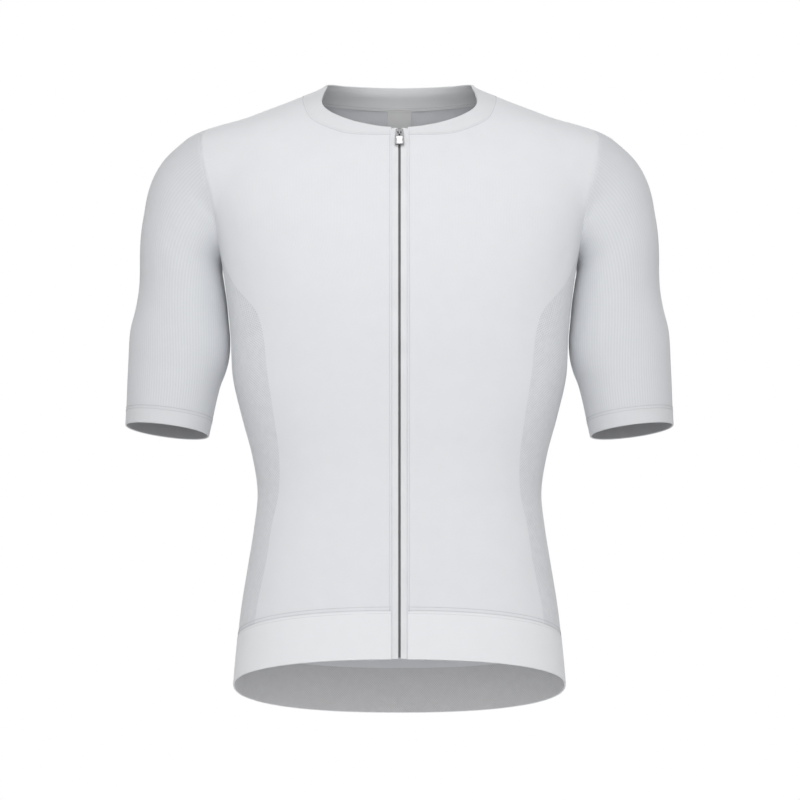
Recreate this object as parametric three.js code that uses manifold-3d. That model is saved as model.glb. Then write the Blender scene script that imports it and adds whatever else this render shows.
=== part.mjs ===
// A short-sleeved, full-zip cycling jersey, filled out as it is when worn, with no wearer.
// Millimetres. +X is the wearer's left, the front faces -Y, +Z is up.
// The origin is where the wearer's neck and shoulders carry it.
//
// The cloth lies on one form: a torso of rings and two arms of rings, joined at the armholes.
// Each cut piece is a patch between its seam lines on that form, given a wall of cloth.
import * as THREE from "three";
import Module from "manifold-3d";

// Cloth thicknesses, and the gap that stands for a sewn seam
const CLOTH = 1.2;
const BAND = 1.6;
const COLLAR = 2;
const SEAM_GAP = 0.3;
const CREASE_GAP = 0.5;

// Rings of the torso from the neck down. The front and back are depths from the side line,
// which lies at sideY, and power makes the ring's corners fuller than an ellipse's (2).
const TORSO = [
  { z: 30, halfWidth: 66, front: 35, back: 42, sideY: 6, power: 2 },
  { z: 14, halfWidth: 71, front: 40, back: 47, sideY: 5, power: 2 },
  { z: 8, halfWidth: 79, front: 45, back: 50, sideY: 4, power: 2 },
  { z: 0, halfWidth: 98, front: 51, back: 56, sideY: 3, power: 2 },
  { z: -8, halfWidth: 118, front: 57, back: 62, sideY: 2, power: 2 },
  { z: -18, halfWidth: 144, front: 62, back: 69, sideY: 1, power: 2 },
  { z: -28, halfWidth: 167, front: 67, back: 77, sideY: 0, power: 2.05 },
  { z: -40, halfWidth: 184, front: 72, back: 86, sideY: -1, power: 2.1 },
  { z: -60, halfWidth: 193, front: 79, back: 96, sideY: -3, power: 2.15 },
  { z: -85, halfWidth: 193, front: 88, back: 105, sideY: -5, power: 2.2 },
  { z: -115, halfWidth: 188, front: 95, back: 114, sideY: -8, power: 2.3 },
  { z: -145, halfWidth: 181, front: 100, back: 120, sideY: -10, power: 2.3 },
  { z: -200, halfWidth: 172, front: 103, back: 121, sideY: -12, power: 2.3 },
  { z: -240, halfWidth: 168, front: 103, back: 114, sideY: -11, power: 2.3 },
  { z: -280, halfWidth: 166, front: 101, back: 104, sideY: -9, power: 2.3 },
  { z: -320, halfWidth: 157, front: 99, back: 95, sideY: -7, power: 2.3 },
  { z: -360, halfWidth: 146.5, front: 96, back: 89, sideY: -5, power: 2.3 },
  { z: -395, halfWidth: 141.5, front: 95, back: 86, sideY: -4, power: 2.3 },
  { z: -430, halfWidth: 145, front: 96, back: 88, sideY: -3, power: 2.3 },
  { z: -470, halfWidth: 151.5, front: 98, back: 95, sideY: -2, power: 2.3 },
  { z: -510, halfWidth: 158, front: 100, back: 102, sideY: -1, power: 2.3 },
  { z: -550, halfWidth: 162.5, front: 102, back: 107, sideY: 0, power: 2.3 },
  { z: -590, halfWidth: 166, front: 103, back: 109, sideY: 0, power: 2.3 },
  { z: -630, halfWidth: 168, front: 104, back: 111, sideY: 0, power: 2.3 },
];

// Rings of the arm, by their distance down it. The inner and outer edges are measured from its axis.
const ARM = [
  { down: 0, inner: -60, outer: 59.5, halfDepth: 61 },
  { down: 25, inner: -38, outer: 60, halfDepth: 60 },
  { down: 50, inner: -25.5, outer: 58, halfDepth: 59 },
  { down: 65, inner: -29, outer: 56, halfDepth: 58 },
  { down: 83, inner: -34, outer: 54.5, halfDepth: 57 },
  { down: 104, inner: -38.7, outer: 55.2, halfDepth: 56 },
  { down: 124, inner: -42.8, outer: 57.5, halfDepth: 55.5 },
  { down: 145, inner: -43.5, outer: 56.5, halfDepth: 55 },
  { down: 155, inner: -42, outer: 55.5, halfDepth: 54.6 },
  { down: 167, inner: -39, outer: 54.5, halfDepth: 54.2 },
  { down: 180, inner: -37.2, outer: 53.3, halfDepth: 54 },
  { down: 204, inner: -35.2, outer: 51, halfDepth: 53 },
  { down: 222, inner: -33.5, outer: 49.5, halfDepth: 52.5 },
  { down: 240, inner: -32, outer: 48.5, halfDepth: 52 },
];
const ARM_TOP = new THREE.Vector3(197, 22, -118);
const ARM_OUTWARDS = THREE.MathUtils.degToRad(7);
const ARM_FORWARDS = THREE.MathUtils.degToRad(8.3);
const ARM_POWER = 2.1;
const ARM_CAP = 79;

// The arm flows into the shoulder above, and meets the side in a crease below.
const SHOULDER_BLEND = 42;
const CREASE_BLEND = 1;
const BLEND_TOP = -70;
const BLEND_LOW = -135;

// Heights of the collar's seam and of its top edge, by the turn round the neck from the front
const NECK = [
  { turn: 0, seam: -42.5, edge: -37 },
  { turn: 20, seam: -42.5, edge: -34.5 },
  { turn: 40, seam: -40, edge: -28 },
  { turn: 57, seam: -28, edge: -16.5 },
  { turn: 72, seam: -9.5, edge: 0.5 },
  { turn: 88, seam: 0.5, edge: 10.5 },
  { turn: 105, seam: -1, edge: 14 },
  { turn: 130, seam: -4.5, edge: 14.5 },
  { turn: 155, seam: -7, edge: 14.3 },
  { turn: 180, seam: -8, edge: 14 },
];
const NECK_CENTRE_Y = -5;
const SHOULDER_SEAM_TURN = 98;

// Turns of the side panel's two seams round the torso's middle line, by height
const SIDE_PANEL = [
  { z: -600, front: 70, back: 113 },
  { z: -540, front: 69, back: 114 },
  { z: -480, front: 66.5, back: 116 },
  { z: -425, front: 65, back: 117 },
  { z: -390, front: 61.5, back: 118 },
  { z: -350, front: 59, back: 118 },
  { z: -280, front: 58, back: 117 },
  { z: -220, front: 60, back: 114 },
  { z: -190, front: 65.5, back: 109 },
];

// The armhole is read by angles in a side view, from the top towards the back.
const ARMHOLE_CENTRE = new THREE.Vector3(180, 20, -92);
const ARMHOLE_TOP = 8;
const ARMHOLE_BACK_CORNER = 146;
const UNDERARM = 184;
const ARMHOLE_FRONT_CORNER = 222;

// The hem lies on a plane that drops towards the back; its band follows that plane.
const HEM_SIDE_Z = -589;
const HEM_DROP = 0.345;
const HEM_BAND = 46;

// The sleeve ends on planes square to the arm.
const CUFF_END = 221;
const CUFF_BAND = 16;

// Zip
const ZIP_HALF = 8;
const ZIP_SLOT_HALF = 0.9;
const COIL_HALF = 2.8;
const COIL_DEPTH = 1.4;

// Rear pockets: one panel over the lower back
const POCKET_ROWS = 6;
const POCKET_LIFT = 0.5;

// Neck label
const LABEL = { width: 24.5, drop: 26, thick: 0.8, top: -6, clear: 0.7 };

// Mesh counts along the seams
const HEM_ROWS = 2;
const FRONT_COLS = 10;
const CENTRE_ROWS = 16;
const NECK_FRONT = 8;
const NECK_BACK = 10;
const SHOULDER_BACK = 5;
const SIDE_ROWS = 12;
const ARMHOLE_ARC = 12;
const SIDE_COLS = 8;
const SLEEVE_ROWS = 11;
const DENSE = 96;

const { clamp, degToRad } = THREE.MathUtils;

// Smooth curves through a table's rows: returns a function from the key column to all the others
function reader(rows, key) {
  const sorted = [...rows].sort((a, b) => a[key] - b[key]);
  const names = Object.keys(sorted[0]).filter((name) => name !== key);
  const at = sorted.map((row) => row[key]);
  const last = at.length - 1;
  const slopes = {};
  for (const name of names) {
    const rise = (i) => (sorted[i + 1][name] - sorted[i][name]) / (at[i + 1] - at[i]);
    slopes[name] = at.map((_, i) => {
      if (i === 0) return rise(0);
      if (i === last) return rise(last - 1);
      const before = at[i] - at[i - 1];
      const after = at[i + 1] - at[i];
      return (rise(i - 1) * after + rise(i) * before) / (before + after);
    });
  }
  return (value) => {
    const s = clamp(value, at[0], at[last]);
    let i = 0;
    while (i < last - 1 && at[i + 1] < s) i += 1;
    const span = at[i + 1] - at[i];
    const u = (s - at[i]) / span;
    const out = {};
    for (const name of names) {
      out[name] =
        (1 + 2 * u) * (1 - u) ** 2 * sorted[i][name] +
        u * (1 - u) ** 2 * span * slopes[name][i] +
        u * u * (3 - 2 * u) * sorted[i + 1][name] +
        u * u * (u - 1) * span * slopes[name][i + 1];
    }
    return out;
  };
}

const torsoRing = reader(TORSO, "z");
const armRing = reader(ARM, "down");
const neckAt = reader(NECK, "turn");
const sidePanelAt = reader(SIDE_PANEL, "z");

// Arm axes: down the arm, out to its side, and towards the back
const armDown = new THREE.Vector3(Math.tan(ARM_OUTWARDS), -Math.tan(ARM_FORWARDS), -1).normalize();
const armBack = new THREE.Vector3().crossVectors(armDown, new THREE.Vector3(-1, 0, 0)).normalize();
const armOut = new THREE.Vector3().crossVectors(armDown, armBack).normalize();
if (armBack.y < 0) armBack.negate();
if (armOut.x < 0) armOut.negate();

// Signed fields of the torso and the arm: below zero inside, above zero outside
function torsoField(p) {
  const ring = torsoRing(p.z);
  const y = p.y - ring.sideY;
  const depth = y < 0 ? ring.front : ring.back;
  const size =
    (Math.abs(p.x / ring.halfWidth) ** ring.power + Math.abs(y / depth) ** ring.power + 1e-12) **
    (1 / ring.power);
  return Math.hypot(p.x, y) * (1 - 1 / size);
}

const local = new THREE.Vector3();
function armField(p) {
  local.set(Math.abs(p.x), p.y, p.z).sub(ARM_TOP);
  const down = local.dot(armDown);
  const ring = armRing(Math.max(down, 0));
  const side = local.dot(armOut) - (ring.inner + ring.outer) / 2;
  const back = local.dot(armBack);
  const up = Math.min(down, 0);
  const size =
    (Math.abs((2 * side) / (ring.outer - ring.inner)) ** ARM_POWER +
      Math.abs(back / ring.halfDepth) ** ARM_POWER +
      Math.abs(up / ARM_CAP) ** ARM_POWER +
      1e-12) **
    (1 / ARM_POWER);
  return Math.hypot(side, back, up) * (1 - 1 / size);
}

const GRADIENT_STEP = 0.5;
function gradient(field, p) {
  const slope = new THREE.Vector3();
  const probe = new THREE.Vector3();
  for (const axis of ["x", "y", "z"]) {
    probe.copy(p);
    probe[axis] += GRADIENT_STEP;
    const ahead = field(probe);
    probe[axis] -= 2 * GRADIENT_STEP;
    slope[axis] = (ahead - field(probe)) / (2 * GRADIENT_STEP);
  }
  return slope;
}

const LEAST_SLOPE = 0.15;
function distanceOf(field) {
  return (p) => field(p) / Math.max(gradient(field, p).length(), LEAST_SLOPE);
}
const torsoDistance = distanceOf(torsoField);
const armDistance = distanceOf(armField);

function blendAt(z) {
  return CREASE_BLEND + (SHOULDER_BLEND - CREASE_BLEND) * THREE.MathUtils.smoothstep(z, BLEND_LOW, BLEND_TOP);
}

// The body's cloth and the sleeve's cloth: one surface where they meet, each running on past the seam
function bodySkin(p) {
  const torso = torsoDistance(p);
  const blend = blendAt(p.z);
  const share = clamp(0.5 + (0.5 * (armDistance(p) - torso)) / blend, 0.5, 1);
  return torso - blend * (1 - share) ** 2;
}
function sleeveSkin(p) {
  const arm = armDistance(p);
  const blend = blendAt(p.z);
  const share = clamp(0.5 + (0.5 * (arm - torsoDistance(p))) / blend, 0, 0.5);
  return arm - blend * share ** 2;
}

// Moves a point onto a skin, by the shortest way or along one direction
const SETTLE_STEPS = 12;
const CLOSE_ENOUGH = 1e-3;
const FARTHEST = 260;
const HALVINGS = 40;
function settle(skin, point) {
  const p = point.clone();
  for (let i = 0; i < SETTLE_STEPS; i += 1) {
    const value = skin(p);
    if (Math.abs(value) < CLOSE_ENOUGH) break;
    const slope = gradient(skin, p);
    p.addScaledVector(slope, -value / Math.max(slope.lengthSq(), LEAST_SLOPE));
  }
  return p;
}
function settleAlong(skin, start, direction) {
  let near = 0;
  let far = FARTHEST;
  const probe = new THREE.Vector3();
  for (let i = 0; i < HALVINGS; i += 1) {
    const middle = (near + far) / 2;
    if (skin(probe.copy(start).addScaledVector(direction, middle)) < 0) near = middle;
    else far = middle;
  }
  return start.clone().addScaledVector(direction, near);
}
const outward = (skin, p) => gradient(skin, p).normalize();

// Points on the body by their turn round its middle line, on a level or on the hem's sloping plane
function turnDirection(turn, slope = 0) {
  const angle = degToRad(turn);
  const y = -Math.cos(angle);
  return new THREE.Vector3(Math.sin(angle), y, slope * y);
}
const bodyPoint = (turn, z) => settleAlong(bodySkin, new THREE.Vector3(0, 0, z), turnDirection(turn));
const neckPoint = (turn, z) =>
  settleAlong(torsoDistance, new THREE.Vector3(0, NECK_CENTRE_Y, z), turnDirection(turn));
const hemPoint = (turn, level) =>
  settleAlong(bodySkin, new THREE.Vector3(0, 0, HEM_SIDE_Z + level), turnDirection(turn, -HEM_DROP));
const centrePoint = (x, z) => settleAlong(bodySkin, new THREE.Vector3(x, 0, z), new THREE.Vector3(0, -1, 0));

// The armhole's seam point at an angle: on both cloths, where their blend is half one and half the other
const FIRST_REACH = 60;
const PROBE_STEP = 0.2;
const LONGEST_MOVE = 10;
const ARMHOLE_STEPS = 30;
function armholePoint(angle) {
  const turn = degToRad(angle);
  const direction = new THREE.Vector3(0, Math.sin(turn), Math.cos(turn));
  const place = (x, reach) => new THREE.Vector3(x, 0, 0).add(
    new THREE.Vector3(0, ARMHOLE_CENTRE.y, ARMHOLE_CENTRE.z).addScaledVector(direction, reach),
  );
  const misses = (x, reach) => {
    const p = place(x, reach);
    const share = blendAt(p.z) / 4;
    return [torsoDistance(p) - share, armDistance(p) - share];
  };
  let x = ARMHOLE_CENTRE.x;
  let reach = FIRST_REACH;
  const step = PROBE_STEP;
  for (let i = 0; i < ARMHOLE_STEPS; i += 1) {
    const [a, b] = misses(x, reach);
    const [ax, bx] = misses(x + step, reach);
    const [ar, br] = misses(x, reach + step);
    const [dax, dbx, dar, dbr] = [(ax - a) / step, (bx - b) / step, (ar - a) / step, (br - b) / step];
    const area = dax * dbr - dar * dbx;
    if (Math.abs(area) < 1e-6) break;
    x += clamp((-a * dbr + b * dar) / area, -LONGEST_MOVE, LONGEST_MOVE);
    reach += clamp((-b * dax + a * dbx) / area, -LONGEST_MOVE, LONGEST_MOVE);
  }
  return place(x, reach);
}

// Seam lines: dense curves, then the same number of even steps for the pieces on both sides
function trace(count, at) {
  return Array.from({ length: count + 1 }, (_, i) => at(i / count));
}
function even(points, count) {
  const lengths = [0];
  for (let i = 1; i < points.length; i += 1) {
    lengths.push(lengths[i - 1] + points[i].distanceTo(points[i - 1]));
  }
  const total = lengths[lengths.length - 1];
  let i = 0;
  return trace(count, (share) => {
    while (i < points.length - 2 && lengths[i + 1] < share * total) i += 1;
    const within = (share * total - lengths[i]) / (lengths[i + 1] - lengths[i]);
    return points[i].clone().lerp(points[i + 1], clamp(within, 0, 1));
  });
}
function seam(count, at) {
  return even(trace(DENSE, at), count);
}
const mix = THREE.MathUtils.lerp;
const joined = (...lines) => lines.flatMap((line, i) => (i ? line.slice(1) : line));
const reversed = (line) => [...line].reverse();
const mirrored = (line) => line.map((p) => new THREE.Vector3(-p.x, p.y, p.z));

// Turn at which a level line meets the zip's edge
const WIDEST_ZIP_TURN = 20;
function turnAtX(pointAt, x) {
  let low = 0;
  let high = WIDEST_ZIP_TURN;
  for (let i = 0; i < HALVINGS; i += 1) {
    const middle = (low + high) / 2;
    if (pointAt(middle).x < x) low = middle;
    else high = middle;
  }
  return low;
}

// Seam lines of the left half; the right half mirrors them
const seamNeck = (turn) => neckPoint(turn, neckAt(turn).seam);
const edgeNeck = (turn) => neckPoint(turn, neckAt(turn).edge);
const neckStart = turnAtX(seamNeck, ZIP_HALF);
const neckFront = seam(NECK_FRONT, (t) => seamNeck(mix(neckStart, SHOULDER_SEAM_TURN, t)));
const neckBack = seam(NECK_BACK, (t) => {
  const turn = mix(SHOULDER_SEAM_TURN, 360 - SHOULDER_SEAM_TURN, t);
  return turn <= 180 ? seamNeck(turn) : mirrored([seamNeck(360 - turn)])[0];
});

const armholeFront = seam(ARMHOLE_ARC, (t) => armholePoint(mix(ARMHOLE_FRONT_CORNER, 360 + ARMHOLE_TOP, t)));
const armholeBack = seam(ARMHOLE_ARC, (t) => armholePoint(mix(ARMHOLE_BACK_CORNER, ARMHOLE_TOP, t)));
const armholeUnder = joined(
  seam(SIDE_COLS / 2, (t) => armholePoint(mix(ARMHOLE_FRONT_CORNER, UNDERARM, t))),
  seam(SIDE_COLS / 2, (t) => armholePoint(mix(UNDERARM, ARMHOLE_BACK_CORNER, t))),
);

const shoulderStart = neckFront[NECK_FRONT];
const shoulderEnd = armholeFront[ARMHOLE_ARC];
const shoulder = seam(FRONT_COLS, (t) => settle(bodySkin, shoulderStart.clone().lerp(shoulderEnd, t)));
shoulder[0].copy(shoulderStart);
shoulder[FRONT_COLS].copy(shoulderEnd);

// Side panel seams: from the hem seam up by the table, then in a curve into the armhole corner
const SIDE_FOOT_Z = -545;
const CORNER_CURVE = 30;
const FOOT_SHARE = 6;
function sideSeam(column, corner) {
  const foot = sidePanelAt(SIDE_FOOT_Z)[column];
  const low = hemPoint(foot, HEM_BAND);
  const top = sidePanelAt(SIDE_PANEL[SIDE_PANEL.length - 1].z);
  const topZ = SIDE_PANEL[SIDE_PANEL.length - 1].z;
  const cornerTurn = THREE.MathUtils.radToDeg(Math.atan2(corner.x, -corner.y));
  const line = seam(SIDE_ROWS, (t) => {
    const z = mix(low.z, corner.z, t);
    const near = THREE.MathUtils.smoothstep(z, topZ - CORNER_CURVE, corner.z);
    const turn = mix(z > topZ ? top[column] : sidePanelAt(z)[column], cornerTurn, near);
    return bodyPoint(mix(foot, turn, Math.min(1, t * FOOT_SHARE)), z);
  });
  line[0].copy(low);
  line[SIDE_ROWS].copy(corner);
  return line;
}
const sideFront = sideSeam("front", armholeFront[0]);
const sideBack = sideSeam("back", armholeBack[0]);
const hemTurn = (p) => THREE.MathUtils.radToDeg(Math.atan2(p.x, -p.y));
const frontFoot = hemTurn(sideFront[0]);
const backFoot = hemTurn(sideBack[0]);
const sideMiddle = (frontFoot + backFoot) / 2;

function hemLine(count, from, to, level) {
  return seam(count, (t) => {
    const turn = mix(from, to, t);
    return turn <= 180 ? hemPoint(turn, level) : mirrored([hemPoint(360 - turn, level)])[0];
  });
}
const hemStartAt = (level) => turnAtX((turn) => hemPoint(turn, level), ZIP_HALF);

const centreTop = neckFront[0];
const centreFoot = hemPoint(hemStartAt(HEM_BAND), HEM_BAND);
const centreLine = seam(CENTRE_ROWS, (t) => centrePoint(ZIP_HALF, mix(centreFoot.z, centreTop.z, t)));
centreLine[0].copy(centreFoot);
centreLine[CENTRE_ROWS].copy(centreTop);

// A grid between four seam lines, filled in and settled on its skin
function patch(skin, bottom, top, left, right, rounds = 3) {
  const cols = bottom.length - 1;
  const rows = left.length - 1;
  const grid = [];
  for (let j = 0; j <= rows; j += 1) {
    const v = j / rows;
    const row = [];
    for (let i = 0; i <= cols; i += 1) {
      const u = i / cols;
      const p = new THREE.Vector3();
      p.addScaledVector(bottom[i], 1 - v).addScaledVector(top[i], v);
      p.addScaledVector(left[j], 1 - u).addScaledVector(right[j], u);
      p.addScaledVector(bottom[0], -(1 - u) * (1 - v)).addScaledVector(bottom[cols], -u * (1 - v));
      p.addScaledVector(top[0], -(1 - u) * v).addScaledVector(top[cols], -u * v);
      row.push(p);
    }
    grid.push(row);
  }
  grid[0] = bottom.map((p) => p.clone());
  grid[rows] = top.map((p) => p.clone());
  for (let j = 0; j <= rows; j += 1) {
    grid[j][0] = left[j].clone();
    grid[j][cols] = right[j].clone();
  }
  return relaxed(skin, grid, rounds);
}
function relaxed(skin, grid, rounds) {
  const rows = grid.length - 1;
  const cols = grid[0].length - 1;
  for (let round = 0; round <= rounds; round += 1) {
    for (let j = 1; j < rows; j += 1) {
      for (let i = 1; i < cols; i += 1) {
        const p = grid[j][i].clone();
        if (round > 0) {
          p.add(grid[j - 1][i]).add(grid[j + 1][i]).add(grid[j][i - 1]).add(grid[j][i + 1]).divideScalar(5);
        }
        grid[j][i] = settle(skin, p);
      }
    }
  }
  return grid;
}

// Draws a grid's edges back from its seams
function drawnIn(grid, gaps) {
  const rows = grid.length - 1;
  const cols = grid[0].length - 1;
  const shifted = grid.map((row) => row.map((p) => p.clone()));
  const pull = (j, i, toJ, toI, alongA, alongB, gap) => {
    const way = grid[toJ][toI].clone().sub(grid[j][i]);
    const tangent = alongB.clone().sub(alongA).normalize();
    way.addScaledVector(tangent, -way.dot(tangent)).normalize();
    shifted[j][i].addScaledVector(way, gap / 2);
  };
  for (let i = 0; i <= cols; i += 1) {
    const a = Math.max(i - 1, 0);
    const b = Math.min(i + 1, cols);
    pull(0, i, 1, i, grid[0][a], grid[0][b], gaps.bottom ?? SEAM_GAP);
    pull(rows, i, rows - 1, i, grid[rows][a], grid[rows][b], gaps.top ?? SEAM_GAP);
  }
  for (let j = 0; j <= rows; j += 1) {
    const a = Math.max(j - 1, 0);
    const b = Math.min(j + 1, rows);
    const side = (at) => (typeof at === "function" ? at(j) : at ?? SEAM_GAP);
    pull(j, 0, j, 1, grid[a][0], grid[b][0], side(gaps.left));
    pull(j, cols, j, cols - 1, grid[a][cols], grid[b][cols], side(gaps.right));
  }
  return shifted;
}

// A closed wall from a grid of outer points and the same grid of inner points
function wall(outer, inner) {
  const rows = outer.length - 1;
  const cols = outer[0].length - 1;
  const positions = [];
  const index = [];
  for (const grid of [outer, inner]) {
    for (const row of grid) for (const p of row) positions.push(p.x, p.y, p.z);
  }
  const half = (rows + 1) * (cols + 1);
  const at = (side, j, i) => side * half + j * (cols + 1) + i;
  const quad = (a, b, c, d) => index.push(a, b, c, a, c, d);
  for (let j = 0; j < rows; j += 1) {
    for (let i = 0; i < cols; i += 1) {
      quad(at(0, j, i), at(0, j, i + 1), at(0, j + 1, i + 1), at(0, j + 1, i));
      quad(at(1, j, i), at(1, j + 1, i), at(1, j + 1, i + 1), at(1, j, i + 1));
    }
  }
  for (let i = 0; i < cols; i += 1) {
    quad(at(0, 0, i), at(1, 0, i), at(1, 0, i + 1), at(0, 0, i + 1));
    quad(at(0, rows, i), at(0, rows, i + 1), at(1, rows, i + 1), at(1, rows, i));
  }
  for (let j = 0; j < rows; j += 1) {
    quad(at(0, j, 0), at(0, j + 1, 0), at(1, j + 1, 0), at(1, j, 0));
    quad(at(0, j, cols), at(1, j, cols), at(1, j + 1, cols), at(0, j + 1, cols));
  }
  const geometry = new THREE.BufferGeometry();
  geometry.setAttribute("position", new THREE.Float32BufferAttribute(positions, 3));
  geometry.setIndex(facingOut(positions, index));
  geometry.computeVertexNormals();
  return geometry;
}

// Turns the faces round where a mirrored grid has left them pointing in
function facingOut(positions, index) {
  let volume = 0;
  const corner = (k) => new THREE.Vector3().fromArray(positions, 3 * index[k]);
  for (let k = 0; k < index.length; k += 3) {
    volume += corner(k).dot(corner(k + 1).cross(corner(k + 2)));
  }
  if (volume > 0) return index;
  return index.map((_, k) => index[k - (k % 3) + ((3 - (k % 3)) % 3)]);
}

// Cloth between two depths under its skin, from a grid that lies on the skin
function layer(skin, grid, outerDepth, innerDepth) {
  const sunk = (p, depth) => p.clone().addScaledVector(outward(skin, p), -depth);
  const sink = (depth) => grid.map((row) => row.map((p) => sunk(p, depth)));
  return wall(sink(outerDepth), sink(innerDepth));
}
const mirrorGrid = (grid) => grid.map((row) => mirrored(row));

const material = (color, roughness, metalness = 0) =>
  new THREE.MeshStandardMaterial({ color, roughness, metalness });
const knit = material(0xe9ebee, 0.8);
const meshKnit = material(0xe0e2e5, 0.85);
const ribKnit = material(0xdfe1e4, 0.8);
const bandCloth = material(0xe8eaee, 0.75);
const tapeCloth = material(0xdde0e3, 0.7);
const labelCloth = material(0xe4e4e2, 0.7);
const coilNylon = material(0x3b3d42, 0.5);
const pullMetal = material(0xc9ccd1, 0.35, 0.9);

const jersey = new THREE.Group();
function add(name, geometry, finish) {
  const mesh = new THREE.Mesh(geometry, finish);
  mesh.name = name;
  jersey.add(mesh);
}
function addPair(name, skin, grid, thickness, finish) {
  add(name + "_left", layer(skin, grid, 0, thickness), finish);
  add(name + "_right", layer(skin, mirrorGrid(grid), 0, thickness), finish);
}

// Front panels, from the zip to the side panel's seam, the armhole and the shoulder
const CURVED_ROWS = 4;
const armholeSide = (row) => (row >= SIDE_ROWS - CURVED_ROWS ? CREASE_GAP : SEAM_GAP);
const hemFront = hemLine(FRONT_COLS, hemStartAt(HEM_BAND), frontFoot, HEM_BAND);
const frontGrid = patch(
  bodySkin,
  hemFront,
  shoulder,
  joined(centreLine, neckFront),
  joined(sideFront, armholeFront),
);
addPair("front", bodySkin, drawnIn(frontGrid, { right: armholeSide }), CLOTH, knit);

// Back panel, in one piece from side seam to side seam
const shoulderBack = even(shoulder, SHOULDER_BACK);
const backTop = joined(reversed(shoulderBack), neckBack, mirrored(shoulderBack));
const backSide = joined(sideBack, armholeBack);
const BACK_COLS = NECK_BACK + 2 * SHOULDER_BACK;
const hemBackSeam = hemLine(BACK_COLS, backFoot, 360 - backFoot, HEM_BAND);
const backGrid = patch(bodySkin, hemBackSeam, backTop, backSide, mirrored(backSide));
add(
  "back",
  layer(bodySkin, drawnIn(backGrid, { left: armholeSide, right: armholeSide }), 0, CLOTH),
  knit,
);

// Side panels of open mesh, up into the underarm
const hemSide = joined(
  hemLine(SIDE_COLS / 2, frontFoot, sideMiddle, HEM_BAND),
  hemLine(SIDE_COLS / 2, sideMiddle, backFoot, HEM_BAND),
);
const sideGrid = patch(bodySkin, hemSide, armholeUnder, sideFront, sideBack);
const sideGaps = { top: CREASE_GAP, left: armholeSide, right: armholeSide };
addPair("side_panel", bodySkin, drawnIn(sideGrid, sideGaps), CLOTH, meshKnit);

// Sleeves: from the armhole, outwards over the shoulder and straight down under the arm
const SLEEVE_COLS = 2 * ARMHOLE_ARC + SIDE_COLS;
const armholeLoop = joined(
  reversed(armholeUnder.slice(0, SIDE_COLS / 2 + 1)),
  armholeFront,
  reversed(armholeBack),
  reversed(armholeUnder.slice(SIDE_COLS / 2)),
);
function cuffLoop(down) {
  const ring = armRing(down);
  const middle = ARM_TOP.clone().addScaledVector(armDown, down);
  middle.addScaledVector(armOut, (ring.inner + ring.outer) / 2);
  return seam(SLEEVE_COLS, (t) => {
    const angle = 2 * Math.PI * t;
    const way = armOut.clone().multiplyScalar(-Math.cos(angle)).addScaledVector(armBack, -Math.sin(angle));
    return settleAlong(sleeveSkin, middle, way);
  });
}
const cuffSeam = cuffLoop(CUFF_END - CUFF_BAND);
const cuffEdge = cuffLoop(CUFF_END);
const HEAD_REACH = 0.42;
const sleeveStart = armholeLoop.map((from, i) => {
  const to = cuffSeam[i];
  const span = from.distanceTo(to) * HEAD_REACH;
  const top = (1 - Math.cos((2 * Math.PI * i) / SLEEVE_COLS)) / 2;
  const leave = armDown.clone().multiplyScalar(1 - top).add(new THREE.Vector3(top, 0, 0)).normalize();
  const curve = new THREE.CubicBezierCurve3(
    from,
    from.clone().addScaledVector(leave, span),
    to.clone().addScaledVector(armDown, -span),
    to,
  );
  return trace(SLEEVE_ROWS, (t) => curve.getPoint(t));
});
const sleeveGrid = trace(SLEEVE_ROWS, (t) => sleeveStart.map((line) => line[Math.round(t * SLEEVE_ROWS)]));
for (const row of sleeveGrid.slice(1, -1)) {
  for (const i of [0, SLEEVE_COLS]) row[i] = settle(sleeveSkin, row[i]);
}
relaxed(sleeveSkin, sleeveGrid, 6);
addPair("sleeve", sleeveSkin, drawnIn(sleeveGrid, { bottom: CREASE_GAP }), CLOTH, ribKnit);
addPair("cuff_band", sleeveSkin, drawnIn([cuffSeam, cuffEdge], {}), BAND, bandCloth);

// Collar: one band round the neck, from one side of the zip to the other
const neckSeamHalf = joined(neckFront, neckBack.slice(0, NECK_BACK / 2 + 1));
const edgeStart = turnAtX(edgeNeck, ZIP_HALF);
const neckTurn = (p) => THREE.MathUtils.radToDeg(Math.atan2(Math.abs(p.x), -(p.y - NECK_CENTRE_Y)));
const neckEdgeHalf = neckSeamHalf.map((p, i) => edgeNeck(i === 0 ? edgeStart : neckTurn(p)));
const neckRound = (half) => joined(half, reversed(mirrored(half)));
const collarSeam = neckRound(neckSeamHalf);
const collarEdge = neckRound(neckEdgeHalf);
const collarMiddle = collarSeam.map((p, i) => settle(torsoDistance, p.clone().lerp(collarEdge[i], 0.5)));
const collarGrid = drawnIn([collarSeam, collarMiddle, collarEdge], {});
add("collar", layer(torsoDistance, collarGrid, 0, COLLAR), bandCloth);

// Hem bands: two at the front, and one round the back from side to side
function hemBand(count, from, to) {
  return trace(HEM_ROWS, (t) => {
    const level = HEM_BAND * (1 - t);
    return hemLine(count, from === null ? hemStartAt(level) : from, to, level);
  });
}
const withSides = (front, side) => front.map((row, j) => joined(row, side[j]));
const hemFrontGrid = withSides(
  hemBand(FRONT_COLS, null, frontFoot),
  hemBand(SIDE_COLS / 2, frontFoot, sideMiddle),
);
addPair("hem_front", bodySkin, drawnIn(hemFrontGrid, {}), BAND, bandCloth);
const hemSideBack = hemBand(SIDE_COLS / 2, sideMiddle, backFoot);
const hemBackGrid = withSides(
  withSides(hemSideBack, hemBand(BACK_COLS, backFoot, 360 - backFoot)),
  hemSideBack.map((row) => reversed(mirrored(row))),
);
add("hem_back", layer(bodySkin, drawnIn(hemBackGrid, {}), 0, BAND), bandCloth);

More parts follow.
